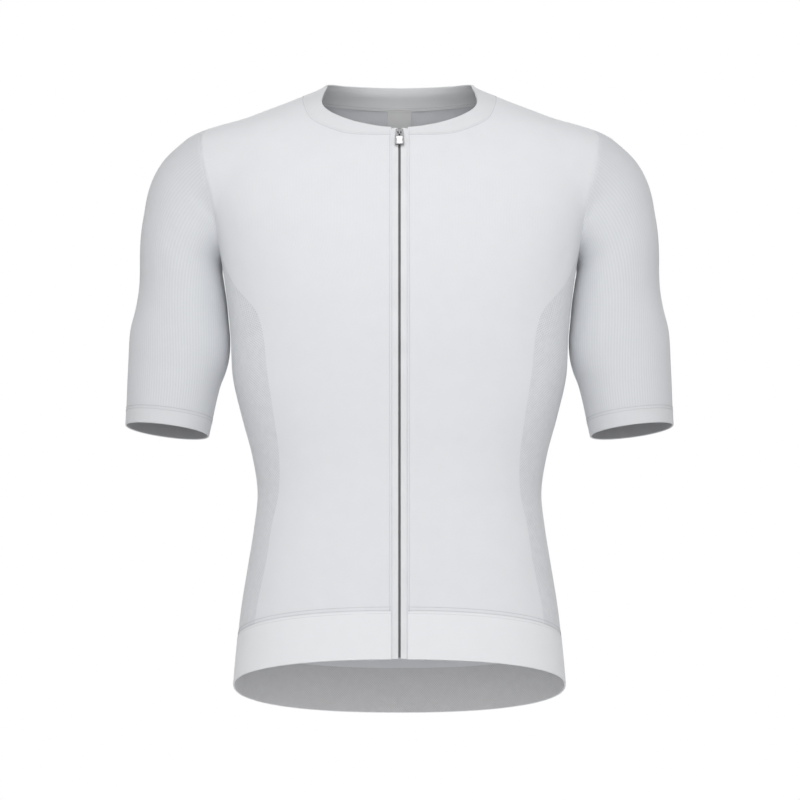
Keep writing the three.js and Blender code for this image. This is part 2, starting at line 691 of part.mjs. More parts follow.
// Rear pockets: a panel over the lower rows of the back, sewn down at its foot and its sides
const pocketGrid = drawnIn(backGrid.slice(0, POCKET_ROWS), { top: 0 });
add("rear_pockets", layer(bodySkin, pocketGrid, -POCKET_LIFT - CLOTH, -POCKET_LIFT), knit);

// Zip: two tapes with their edges turned in to a narrow slot, and the coil behind it
const zipHeights = [
  ...trace(HEM_ROWS, (t) => mix(hemPoint(hemStartAt(0), 0).z, centreFoot.z, t)),
  ...centreLine.slice(1).map((p) => p.z),
  neckPoint(edgeStart, NECK[0].edge).z,
];
const zipLine = (x) => zipHeights.map((z) => centrePoint(x, z));
const tapeGrid = [zipLine(ZIP_SLOT_HALF), zipLine(ZIP_HALF)];
addPair("zip_tape", bodySkin, drawnIn(tapeGrid, { bottom: 0 }), BAND, tapeCloth);
const coilTop = BAND + SEAM_GAP;
const coilGrid = [zipLine(-COIL_HALF), zipLine(COIL_HALF)];
add("zip_coil", layer(bodySkin, drawnIn(coilGrid, {}), coilTop, coilTop + COIL_DEPTH), coilNylon);

// Slider and pull tab, on a frame of their own: x across, y out of the cloth, z up the zip
const SLIDER_Z = -43;
const SLIDER = { wide: 7.4, tall: 9, thick: 1.8, lift: 0.3, round: 2 };
const STEM = { wide: 1.5, sink: 1.6, shorter: 3 };
const BAIL = { wide: 1.8, tall: 6, rise: 3 };
const TAB = { wide: 8.4, drop: 14, thick: 1.1, bar: 0.9, round: 1.2, eyeWide: 3.6, eyeDrop: 4.4 };
const PLAY = 0.3;

const wasm = await Module();
wasm.setup();
function solid(geometry) {
  const plain = geometry.index ? geometry.toNonIndexed() : geometry;
  const source = plain.getAttribute("position").array;
  const places = new Map();
  const points = [];
  const corners = [];
  for (let k = 0; k < source.length; k += 3) {
    const key = [0, 1, 2].map((n) => Math.round(source[k + n] * 1e4)).join();
    if (!places.has(key)) {
      places.set(key, points.length / 3);
      points.push(source[k], source[k + 1], source[k + 2]);
    }
    corners.push(places.get(key));
  }
  const mesh = { numProp: 3, vertProperties: new Float32Array(points), triVerts: new Uint32Array(corners) };
  return new wasm.Manifold(new wasm.Mesh(mesh));
}
function geometryOf(manifold) {
  const mesh = manifold.getMesh();
  const geometry = new THREE.BufferGeometry();
  geometry.setAttribute("position", new THREE.Float32BufferAttribute(mesh.vertProperties, 3));
  geometry.setIndex([...mesh.triVerts]);
  geometry.computeVertexNormals();
  return geometry;
}
function roundedOutline(wide, low, high, round) {
  const half = wide / 2;
  const shape = new THREE.Shape();
  shape.moveTo(-half + round, low);
  shape.lineTo(half - round, low);
  shape.absarc(half - round, low + round, round, -Math.PI / 2, 0);
  shape.absarc(half - round, high - round, round, 0, Math.PI / 2);
  shape.absarc(-half + round, high - round, round, Math.PI / 2, Math.PI);
  shape.absarc(-half + round, low + round, round, Math.PI, 1.5 * Math.PI);
  return shape;
}
// A plate in the x-z plane, from one height above the cloth to another (y points into the cloth)
function plate(shape, low, high) {
  const settings = { depth: high - low, bevelEnabled: false, curveSegments: 4 };
  return new THREE.ExtrudeGeometry(shape, settings).rotateX(Math.PI / 2).translate(0, -low, 0);
}
// A block across the zip, from one height above the cloth to another
function block(wide, tall, low, high) {
  return new THREE.BoxGeometry(wide, high - low, tall).translate(0, -(low + high) / 2, 0);
}

const zipPoint = centrePoint(0, SLIDER_Z);
const zipOut = outward(bodySkin, zipPoint);
const zipFrame = new THREE.Group();
zipFrame.position.copy(zipPoint);
zipFrame.rotation.x = -Math.asin(zipOut.z);
jersey.add(zipFrame);

const bodyTop = SLIDER.lift + SLIDER.thick;
const barHeight = bodyTop + PLAY + TAB.thick / 2;
const BAR_ROOM = 0.95;
const HOLE_LENGTH = 2.2;
const BITE = 0.4;
const sliderOutline = roundedOutline(SLIDER.wide, -SLIDER.tall / 2, SLIDER.tall / 2, SLIDER.round);
const sliderBody = solid(plate(sliderOutline, SLIDER.lift, bodyTop));
const stem = solid(block(STEM.wide, SLIDER.tall - STEM.shorter, -STEM.sink, SLIDER.lift + BITE));
const bail = solid(block(BAIL.wide, BAIL.tall, bodyTop - BITE, bodyTop + BAIL.rise));
const bailHole = solid(block(BAIL.wide + 1, HOLE_LENGTH, bodyTop, barHeight + BAR_ROOM));
const sliderMesh = new THREE.Mesh(geometryOf(sliderBody.add(stem).add(bail).subtract(bailHole)), pullMetal);
sliderMesh.name = "zip_slider";
zipFrame.add(sliderMesh);

// The tab hangs from its bar in the bail, and lies along the zip.
const tabOutline = roundedOutline(TAB.wide, -TAB.drop, TAB.bar / 2, TAB.round);
const eye = new THREE.Path();
eye.moveTo(-TAB.eyeWide / 2, -TAB.eyeDrop);
eye.lineTo(-TAB.eyeWide / 2, -TAB.bar / 2);
eye.lineTo(TAB.eyeWide / 2, -TAB.bar / 2);
eye.lineTo(TAB.eyeWide / 2, -TAB.eyeDrop);
tabOutline.holes.push(eye);
const tab = new THREE.Mesh(plate(tabOutline, -TAB.thick / 2, TAB.thick / 2), pullMetal);
tab.name = "zip_pull";
tab.position.set(0, -barHeight, 0);
zipFrame.add(tab);

// Neck label, blank, hanging inside the back from the collar's seam
const labelPoint = (x, z) =>
  settleAlong(torsoDistance, new THREE.Vector3(x, 0, z), new THREE.Vector3(0, 1, 0));
const labelHeights = trace(3, (t) => mix(LABEL.top - LABEL.drop, LABEL.top, t));
const labelGrid = labelHeights.map((z) => trace(2, (u) => labelPoint(LABEL.width * (0.5 - u), z)));
const labelDepth = COLLAR + LABEL.clear;
add("neck_label", layer(torsoDistance, labelGrid, labelDepth, labelDepth + LABEL.thick), labelCloth);

export default jersey;
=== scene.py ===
import math
from functools import partial

import bpy
import numpy as np
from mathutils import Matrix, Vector


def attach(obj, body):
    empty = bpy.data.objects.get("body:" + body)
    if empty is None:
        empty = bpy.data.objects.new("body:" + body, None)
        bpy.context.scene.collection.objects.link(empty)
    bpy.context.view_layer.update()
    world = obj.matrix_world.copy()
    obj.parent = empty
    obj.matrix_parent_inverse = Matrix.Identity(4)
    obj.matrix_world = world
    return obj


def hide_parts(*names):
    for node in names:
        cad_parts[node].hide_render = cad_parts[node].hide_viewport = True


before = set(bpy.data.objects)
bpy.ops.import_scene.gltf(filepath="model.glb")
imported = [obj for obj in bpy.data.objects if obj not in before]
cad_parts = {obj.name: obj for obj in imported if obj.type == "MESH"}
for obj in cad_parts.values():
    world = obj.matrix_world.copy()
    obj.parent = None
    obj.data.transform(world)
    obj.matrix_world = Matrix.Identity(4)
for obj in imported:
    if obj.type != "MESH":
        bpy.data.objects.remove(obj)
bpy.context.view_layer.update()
MM = 0.001

# Camera: level, square to the front
CAMERA_DISTANCE = 3000
CAMERA_SIDE = 0.5
CAMERA_HEIGHT = -303
CAMERA_LENS = 135
CAMERA_SENSOR = 36

# Cloth thicknesses, how far the bands stand from the skin, and how far threads do
CLOTH = 1.1
BAND = 1.6
COLLAR = 2.0
BAND_LIFT = 0.2
HEM_LIFT = 0.45
THREAD_LIFT = 0.1

# Rings of the torso from the neck down: height, half width, depths in front of and behind the side
# line, the side line's place, and the power of the ring's outline (2 is an ellipse)
TORSO_COLUMNS = ("z", "half_width", "front", "back", "side_y", "power")
TORSO = (
    (30, 66, 35, 42, 6, 2),
    (14, 71, 40, 47, 5, 2),
    (8, 79, 45, 50, 4, 2),
    (0, 98, 51, 56, 3, 2),
    (-8, 118, 57, 62, 2, 2),
    (-18, 144, 62, 69, 1, 2),
    (-28, 167, 67, 77, 0, 2.05),
    (-40, 184, 72, 86, -1, 2.1),
    (-60, 193, 79, 96, -3, 2.15),
    (-85, 193, 88, 105, -5, 2.2),
    (-115, 188, 95, 114, -8, 2.3),
    (-145, 181, 100, 120, -10, 2.3),
    (-200, 172, 103, 121, -12, 2.3),
    (-240, 168, 103, 114, -11, 2.3),
    (-280, 166, 101, 104, -9, 2.3),
    (-320, 157, 99, 95, -7, 2.3),
    (-360, 146.5, 96, 89, -5, 2.3),
    (-395, 141.5, 95, 86, -4, 2.3),
    (-430, 145, 96, 88, -3, 2.3),
    (-470, 151.5, 98, 95, -2, 2.3),
    (-510, 158, 100, 102, -1, 2.3),
    (-550, 162.5, 102, 107, 0, 2.3),
    (-590, 166, 103, 109, 0, 2.3),
    (-630, 168, 104, 111, 0, 2.3),
)

# Rings of the arm, by their distance down it
ARM_COLUMNS = ("down", "inner", "outer", "half_depth")
ARM = (
    (0, -60, 59.5, 61),
    (25, -38, 60, 60),
    (50, -25.5, 58, 59),
    (65, -29, 56, 58),
    (83, -34, 54.5, 57),
    (104, -38.7, 55.2, 56),
    (124, -42.8, 57.5, 55.5),
    (145, -43.5, 56.5, 55),
    (155, -42, 55.5, 54.6),
    (167, -39, 54.5, 54.2),
    (180, -37.2, 53.3, 54),
    (204, -35.2, 51, 53),
    (222, -33.5, 49.5, 52.5),
    (240, -32, 48.5, 52),
)
ARM_TOP = np.array([197.0, 22.0, -118.0])
ARM_OUTWARDS = math.radians(7)
ARM_FORWARDS = math.radians(8.3)
ARM_POWER = 2.1
ARM_CAP = 79

SHOULDER_BLEND = 42
CREASE_BLEND = 1
BLEND_TOP = -70
BLEND_LOW = -135

# Heights of the collar's seam and top edge, by the turn round the neck from the front
NECK_COLUMNS = ("turn", "seam", "edge")
NECK = (
    (0, -42.5, -37),
    (20, -42.5, -34.5),
    (40, -40, -28),
    (57, -28, -16.5),
    (72, -9.5, 0.5),
    (88, 0.5, 10.5),
    (105, -1, 14),
    (130, -4.5, 14.5),
    (155, -7, 14.3),
    (180, -8, 14),
)
NECK_CENTRE_Y = -5
SHOULDER_SEAM_TURN = 98

# Turns of the side panel's seams round the torso's middle line, by height
SIDE_COLUMNS = ("z", "front", "back")
SIDE_PANEL = (
    (-600, 70, 113),
    (-540, 69, 114),
    (-480, 66.5, 116),
    (-425, 65, 117),
    (-390, 61.5, 118),
    (-350, 59, 118),
    (-280, 58, 117),
    (-220, 60, 114),
    (-190, 65.5, 109),
)

# Angles of the armhole's corners, in a side view, from the top towards the back
ARMHOLE_CENTRE = np.array([180.0, 20.0, -92.0])
ARMHOLE_TOP = 8
ARMHOLE_BACK_CORNER = 146
UNDERARM = 184
ARMHOLE_FRONT_CORNER = 222

HEM_SIDE_Z = -589
HEM_DROP = 0.345
HEM_BAND = 46
CUFF_END = 221
CUFF_BAND = 16

ZIP_HALF = 8

POCKET_LEVEL = 176
POCKET_LIFT = 0.5
LABEL = {"width": 24.5, "drop": 26, "thick": 0.8, "top": -6, "clear": 0.7}

# Soft creases: a middle, a direction along the crease, half its length and width, and its depth.
# Each is on both sides of the jersey, with a small difference between them in place and strength.
CREASE_SHIFT = np.array([0.3, 0.0, 1.0])
CREASE_UNEVENNESS = 0.15
CREASE_COLUMNS = ("x", "y", "z", "ax", "ay", "az", "half_length", "half_width", "depth")
CREASES = (
    (214, -36, -150, 0.55, -0.1, 0.83, 26, 4.0, -0.8),
    (207, -36, -172, 0.62, -0.1, 0.78, 30, 4.5, -0.9),
    (224, -36, -190, 0.42, -0.1, 0.90, 34, 5.5, -0.7),
    (200, -38, -205, 0.30, -0.1, 0.95, 30, 4.0, -0.6),
    (211, 60, -170, 0.50, 0.1, 0.86, 32, 5.0, -0.9),
    (203, 62, -195, 0.35, 0.1, 0.93, 30, 5.0, -0.7),
    (150, -62, -172, 0.80, 0.2, 0.56, 26, 5.0, -0.7),
    (146, 66, -160, 0.75, -0.1, 0.65, 34, 6.0, -1.0),
    (120, 84, -178, 0.70, -0.1, 0.70, 30, 7.0, -0.8),
    (24, -100, -575, 0.10, 0.0, 1.0, 30, 6.0, -0.5),
    (34, -100, -535, 0.06, 0.0, 1.0, 42, 7.0, -0.5),
    (60, -94, -560, -0.05, 0.0, 1.0, 30, 9.0, -0.4),
    (96, 80, -425, 1.0, 0.0, 0.12, 34, 6.0, -0.9),
    (84, 84, -448, 1.0, 0.0, -0.10, 30, 6.0, -0.7),
    (40, 92, -405, 1.0, 0.0, 0.05, 36, 7.0, -0.6),
)


def reader(columns, rows):
    """Smooth curves through a table's rows: a function from the first column to all the others."""
    table = np.array(sorted(rows), float)
    at, values = table[:, 0], table[:, 1:]
    span = np.diff(at)
    rise = np.diff(values, axis=0) / span[:, None]
    slopes = np.empty_like(values)
    slopes[0], slopes[-1] = rise[0], rise[-1]
    both = (span[:-1] + span[1:])[:, None]
    slopes[1:-1] = (rise[:-1] * span[1:, None] + rise[1:] * span[:-1, None]) / both

    def read(value):
        s = np.clip(value, at[0], at[-1])
        i = np.clip(np.searchsorted(at, s) - 1, 0, len(at) - 2)
        u = ((s - at[i]) / span[i])[..., None]
        width = span[i][..., None]
        out = (
            (1 + 2 * u) * (1 - u) ** 2 * values[i]
            + u * (1 - u) ** 2 * width * slopes[i]
            + u * u * (3 - 2 * u) * values[i + 1]
            + u * u * (u - 1) * width * slopes[i + 1]
        )
        return {name: out[..., k] for k, name in enumerate(columns[1:])}

    return read


torso_ring = reader(TORSO_COLUMNS, TORSO)
arm_ring = reader(ARM_COLUMNS, ARM)
neck_at = reader(NECK_COLUMNS, NECK)
side_panel_at = reader(SIDE_COLUMNS, SIDE_PANEL)


TINY = 1e-12


def unit(v):
    return v / np.maximum(np.linalg.norm(v, axis=-1, keepdims=True), TINY)


ARM_DOWN = unit(np.array([math.tan(ARM_OUTWARDS), -math.tan(ARM_FORWARDS), -1.0]))
ARM_BACK = unit(np.cross(ARM_DOWN, [-1.0, 0.0, 0.0]))
ARM_BACK = ARM_BACK * np.sign(ARM_BACK[1])
ARM_OUT = unit(np.cross(ARM_DOWN, ARM_BACK))
ARM_OUT = ARM_OUT * np.sign(ARM_OUT[0])


def torso_field(p):
    ring = torso_ring(p[..., 2])
    y = p[..., 1] - ring["side_y"]
    depth = np.where(y < 0, ring["front"], ring["back"])
    power = ring["power"]
    across = np.abs(p[..., 0] / ring["half_width"]) ** power
    size = (across + np.abs(y / depth) ** power + TINY) ** (1 / power)
    return np.hypot(p[..., 0], y) * (1 - 1 / size)


def arm_field(p):
    q = np.stack([np.abs(p[..., 0]), p[..., 1], p[..., 2]], -1) - ARM_TOP
    down = q @ ARM_DOWN
    ring = arm_ring(np.maximum(down, 0))
    side = q @ ARM_OUT - (ring["inner"] + ring["outer"]) / 2
    back = q @ ARM_BACK
    up = np.minimum(down, 0)
    size = (
        np.abs(2 * side / (ring["outer"] - ring["inner"])) ** ARM_POWER
        + np.abs(back / ring["half_depth"]) ** ARM_POWER
        + np.abs(up / ARM_CAP) ** ARM_POWER
        + TINY
    ) ** (1 / ARM_POWER)
    return np.sqrt(side**2 + back**2 + up**2) * (1 - 1 / size)


# The corners of a small tetrahedron, where a field is read to find its slope
SLOPE_CORNERS = np.array([(1, -1, -1), (-1, -1, 1), (-1, 1, -1), (1, 1, 1)], float)
SLOPE_STEP = 0.35
LEAST_SLOPE = 0.15


def gradient(field, p, step=SLOPE_STEP):
    out = np.zeros(p.shape)
    for corner in SLOPE_CORNERS:
        out += corner * field(p + corner * step)[..., None]
    return out / (4 * step)


def distance_of(field):
    return lambda p: field(p) / np.maximum(np.linalg.norm(gradient(field, p), axis=-1), LEAST_SLOPE)


torso_distance = distance_of(torso_field)
arm_distance = distance_of(arm_field)


def smooth_step(value, low, high):
    t = np.clip((value - low) / (high - low), 0, 1)
    return t * t * (3 - 2 * t)


def blend_at(z):
    return CREASE_BLEND + (SHOULDER_BLEND - CREASE_BLEND) * smooth_step(z, BLEND_LOW, BLEND_TOP)


def body_skin(p):
    torso, blend = torso_distance(p), blend_at(p[..., 2])
    share = np.clip(0.5 + 0.5 * (arm_distance(p) - torso) / blend, 0.5, 1)
    return torso - blend * (1 - share) ** 2


def sleeve_skin(p):
    arm, blend = arm_distance(p), blend_at(p[..., 2])
    share = np.clip(0.5 + 0.5 * (arm - torso_distance(p)) / blend, 0, 0.5)
    return arm - blend * share**2


# Rounds of settling and evening out, and the halvings and reach of a search along a line
SETTLE_ROUNDS = 5
SETTLE_AGAIN = 2
PATCH_ROUNDS = 3
SLEEVE_ROUNDS = 4
EVENING_STEPS = 6
HALVINGS = 26
FARTHEST = 260.0


def settle(skin, points, rounds=SETTLE_ROUNDS):
    """Moves points onto a skin by the shortest way."""
    p = points.copy()
    for _ in range(rounds):
        slope = gradient(skin, p)
        square = np.maximum((slope**2).sum(-1), LEAST_SLOPE)
        p = p - slope * (skin(p) / square)[..., None]
    return p


def settle_along(skin, start, direction):
    """Moves points onto a skin along one direction each."""
    near = np.zeros(start.shape[:-1])
    far = np.full(start.shape[:-1], FARTHEST)
    for _ in range(HALVINGS):
        middle = (near + far) / 2
        inside = skin(start + direction * middle[..., None]) < 0
        near = np.where(inside, middle, near)
        far = np.where(inside, far, middle)
    return start + direction * near[..., None]


def outward(skin, p):
    return unit(gradient(skin, p))


def turn_direction(turn, slope=0.0):
    angle = np.radians(turn)
    y = -np.cos(angle)
    return np.stack([np.sin(angle), y, slope * y], -1)


def places(x, y, z):
    return np.stack(np.broadcast_arrays(np.asarray(x, float), y, z), -1).astype(float)


def turn_of(points, centre_y=0):
    return np.degrees(np.arctan2(np.abs(points[..., 0]), -(points[..., 1] - centre_y)))


def body_point(turn, z):
    return settle_along(body_skin, places(0, 0, z), turn_direction(turn))


def neck_point(turn, z):
    return settle_along(torso_distance, places(0, NECK_CENTRE_Y, z), turn_direction(turn))


def hem_point(turn, level):
    turn = np.asarray(turn, float)
    start = places(turn * 0, 0, HEM_SIDE_Z + level)
    return settle_along(body_skin, start, turn_direction(turn, -HEM_DROP))


def centre_point(x, z):
    start = places(x, 0, z)
    return settle_along(body_skin, start, places(np.zeros(start.shape[:-1]), -1, 0))


# The search for the armhole: its start, its probe, its steps and the longest of them
FIRST_REACH = 60.0
PROBE_STEP = 0.2
ARMHOLE_STEPS = 24
LONGEST_MOVE = 10
LEAST_AREA = 1e-6


def armhole_point(angle):
    """Where the torso's and the arm's skins meet, at an angle in a side view."""
    turn = np.radians(angle)
    way = np.stack([np.zeros_like(turn), np.sin(turn), np.cos(turn)], -1)
    centre = ARMHOLE_CENTRE * [0, 1, 1]

    def place(x, reach):
        p = centre + way * reach[..., None]
        p[..., 0] = x
        return p

    def misses(x, reach):
        p = place(x, reach)
        share = blend_at(p[..., 2]) / 4
        return torso_distance(p) - share, arm_distance(p) - share

    x = np.full(turn.shape, ARMHOLE_CENTRE[0])
    reach = np.full(turn.shape, FIRST_REACH)
    for _ in range(ARMHOLE_STEPS):
        a, b = misses(x, reach)
        ax, bx = misses(x + PROBE_STEP, reach)
        ar, br = misses(x, reach + PROBE_STEP)
        dax, dbx = (ax - a) / PROBE_STEP, (bx - b) / PROBE_STEP
        dar, dbr = (ar - a) / PROBE_STEP, (br - b) / PROBE_STEP
        area = dax * dbr - dar * dbx
        area = np.where(np.abs(area) < LEAST_AREA, LEAST_AREA, area)
        x = x + np.clip((-a * dbr + b * dar) / area, -LONGEST_MOVE, LONGEST_MOVE)
        reach = reach + np.clip((-b * dax + a * dbx) / area, -LONGEST_MOVE, LONGEST_MOVE)
    return place(x, reach)


# Points along a seam before it is divided evenly
DENSE = 192


def between(wanted, at, values):
    """Points or directions read between those of a line."""
    return np.stack([np.interp(wanted, at, values[:, k]) for k in range(3)], -1)


def lengths_of(points):
    return np.concatenate([[0], np.cumsum(np.linalg.norm(np.diff(points, axis=0), axis=1))])


def even(points, count):
    """A line divided into equal steps."""
    lengths = lengths_of(points)
    return between(np.linspace(0, lengths[-1], count + 1), lengths, points)


def seam(count, at):
    return even(at(np.linspace(0, 1, DENSE + 1)), count)


def joined(*lines):
    return np.concatenate([lines[0]] + [line[1:] for line in lines[1:]])


def mirrored(points):
    return points * [-1, 1, 1]


def mix(a, b, t):
    return a + (b - a) * t


WIDEST_ZIP_TURN = 20.0
TURN_HALVINGS = 24


def turn_at_x(point_at, x):
    low, high = 0.0, WIDEST_ZIP_TURN
    for _ in range(TURN_HALVINGS):
        middle = (low + high) / 2
        if point_at(np.array([middle]))[0, 0] < x:
            low = middle
        else:
            high = middle
    return low


# Steps along the seams, several to each step of the solids
FRONT_COLS = 36
CENTRE_ROWS = 72
NECK_FRONT = 32
NECK_BACK = 44
SHOULDER_COLS = 20
SIDE_ROWS = 56
ARMHOLE_ARC = 48
SIDE_COLS = 28
SLEEVE_ROWS = 64
HEM_ROWS = 12
COLLAR_ROWS = 8
CUFF_ROWS = 8


def around(point_at):
    """A turn past the middle of the back, read on the mirrored side."""

    def at(turn):
        near = point_at(np.where(turn > 180, 360 - turn, turn))
        return np.where((turn > 180)[..., None], mirrored(near), near)

    return at


def neck_line(column):
    return lambda turn: neck_point(turn, neck_at(turn)[column])


seam_neck = neck_line("seam")
edge_neck = neck_line("edge")
neck_start = turn_at_x(seam_neck, ZIP_HALF)
edge_start = turn_at_x(edge_neck, ZIP_HALF)
neck_front = seam(NECK_FRONT, lambda t: seam_neck(mix(neck_start, SHOULDER_SEAM_TURN, t)))
neck_back_end = 360 - SHOULDER_SEAM_TURN
neck_back = seam(NECK_BACK, lambda t: around(seam_neck)(mix(SHOULDER_SEAM_TURN, neck_back_end, t)))


def armhole_line(count, start, end):
    return seam(count, lambda t: armhole_point(mix(start, end, t)))


armhole_front = armhole_line(ARMHOLE_ARC, ARMHOLE_FRONT_CORNER, 360 + ARMHOLE_TOP)
armhole_back = armhole_line(ARMHOLE_ARC, ARMHOLE_BACK_CORNER, ARMHOLE_TOP)
armhole_under = joined(
    armhole_line(SIDE_COLS // 2, ARMHOLE_FRONT_CORNER, UNDERARM),
    armhole_line(SIDE_COLS // 2, UNDERARM, ARMHOLE_BACK_CORNER),
)


def shoulder_line(count):
    start, end = neck_front[-1], armhole_front[-1]
    line = seam(count, lambda t: settle(body_skin, mix(start, end, t[:, None])))
    line[0], line[-1] = start, end
    return line


# The side seams: the height that gives the turn of their feet, how far below their table's top they
# begin to bend to the armhole's corner, and the part of their length, one over this, that leaves the foot
SIDE_FOOT_Z = -545.0
CORNER_CURVE = 30
FOOT_SHARE = 6


def side_seam(column, corner):
    foot = side_panel_at(np.array(SIDE_FOOT_Z))[column]
    low = hem_point(np.array([foot]), HEM_BAND)[0]
    top_z = SIDE_PANEL[-1][0]
    top_turn = SIDE_PANEL[-1][SIDE_COLUMNS.index(column)]
    corner_turn = turn_of(corner)

    def at(t):
        z = mix(low[2], corner[2], t)
        near = smooth_step(z, top_z - CORNER_CURVE, corner[2])
        turn = mix(np.where(z > top_z, top_turn, side_panel_at(z)[column]), corner_turn, near)
        return body_point(mix(foot, turn, np.minimum(1, t * FOOT_SHARE)), z)

    line = seam(SIDE_ROWS, at)
    line[0], line[-1] = low, corner
    return line


side_front = side_seam("front", armhole_front[0])
side_back = side_seam("back", armhole_back[0])
front_foot = turn_of(side_front[0])
back_foot = turn_of(side_back[0])
side_middle = (front_foot + back_foot) / 2


def hem_line(count, start, end, level):
    return seam(count, lambda t: around(lambda turn: hem_point(turn, level))(mix(start, end, t)))


def hem_start(level):
    return turn_at_x(lambda turn: hem_point(turn, level), ZIP_HALF)


centre_foot = hem_point(np.array([hem_start(HEM_BAND)]), HEM_BAND)[0]
centre_line = seam(
    CENTRE_ROWS, lambda t: centre_point(ZIP_HALF + 0 * t, mix(centre_foot[2], neck_front[0][2], t))
)
centre_line[0], centre_line[-1] = centre_foot, neck_front[0]


def patch(skin, bottom, top, left, right):
    """A grid between four seam lines, filled in, evened out and settled on its skin."""
    u = np.linspace(0, 1, len(bottom))[None, :, None]
    v = np.linspace(0, 1, len(left))[:, None, None]
    grid = (1 - v) * bottom[None] + v * top[None] + (1 - u) * left[:, None] + u * right[:, None]
    grid = grid - (1 - u) * (1 - v) * bottom[0] - u * (1 - v) * bottom[-1]
    grid = grid - (1 - u) * v * top[0] - u * v * top[-1]
    grid[0], grid[-1], grid[:, 0], grid[:, -1] = bottom, top, left, right
    return relaxed(skin, grid, PATCH_ROUNDS)


def relaxed(skin, grid, rounds):
    """Evens out the inside of a grid and settles it on its skin, in rounds."""
    grid[1:-1, 1:-1] = settle(skin, grid[1:-1, 1:-1])
    for _ in range(rounds):
        for _ in range(EVENING_STEPS):
            around_it = grid[:-2, 1:-1] + grid[2:, 1:-1] + grid[1:-1, :-2] + grid[1:-1, 2:]
            grid[1:-1, 1:-1] = (grid[1:-1, 1:-1] + around_it) / 5
        grid[1:-1, 1:-1] = settle(skin, grid[1:-1, 1:-1], SETTLE_AGAIN)
    return grid


def crease_depth(p):
    """How far the creases move a point along its normal."""
    total = np.zeros(p.shape[:-1])
    side = np.where(p[..., 0] > 0, 1.0, -1.0)
    q = np.stack([np.abs(p[..., 0]), p[..., 1], p[..., 2]], -1)
    for k, row in enumerate(CREASES):
        c = dict(zip(CREASE_COLUMNS, row))
        middle = np.array([c["x"], c["y"], c["z"]], float)
        along = unit(np.array([c["ax"], c["ay"], c["az"]], float))
        d = q - middle - (side * (2 + k % 3))[..., None] * CREASE_SHIFT
        run = d @ along
        off = d - run[..., None] * along
        wide = (off**2).sum(-1) / c["half_width"] ** 2
        strength = 1.0 + CREASE_UNEVENNESS * side * (-1) ** k
        total += strength * c["depth"] * np.exp(-wide - (run / c["half_length"]) ** 2)
    return total


def lifted(skin, grid, height):
    """A grid moved out from its skin, with its normals, the creases included."""
    normal = outward(skin, grid)
    slope = gradient(crease_depth, grid, 1.0)
    slope = slope - (slope * normal).sum(-1, keepdims=True) * normal
    points = grid + normal * (crease_depth(grid)[..., None] + np.asarray(height, float)[..., None])
    return points, unit(normal - slope)


def lengths_along(grid, axis):
    step = np.linalg.norm(np.diff(grid, axis=axis), axis=-1)
    pad = [(0, 0), (0, 0)]
    pad[axis] = (1, 0)
    return np.cumsum(np.pad(step, pad), axis=axis)


def placed(name, data):
    obj = bpy.data.objects.new(name, data)
    bpy.context.scene.collection.objects.link(obj)
    return obj


def new_object(name, points, faces, normals=None, uvs=None, smooth=True):
    mesh = bpy.data.meshes.new(name)
    mesh.from_pydata((np.asarray(points) * MM).tolist(), [], faces)
    if uvs is not None:
        layer = mesh.uv_layers.new(name="cloth")
        index = np.empty(len(mesh.loops), int)
        mesh.loops.foreach_get("vertex_index", index)
        layer.data.foreach_set("uv", uvs[index].ravel())
    mesh.polygons.foreach_set("use_smooth", [smooth] * len(mesh.polygons))
    if normals is not None:
        mesh.normals_split_custom_set_from_vertices(np.asarray(normals).tolist())
    mesh.update()
    return placed(name, mesh)


# Rings round a free edge
EDGE_STEPS = 5


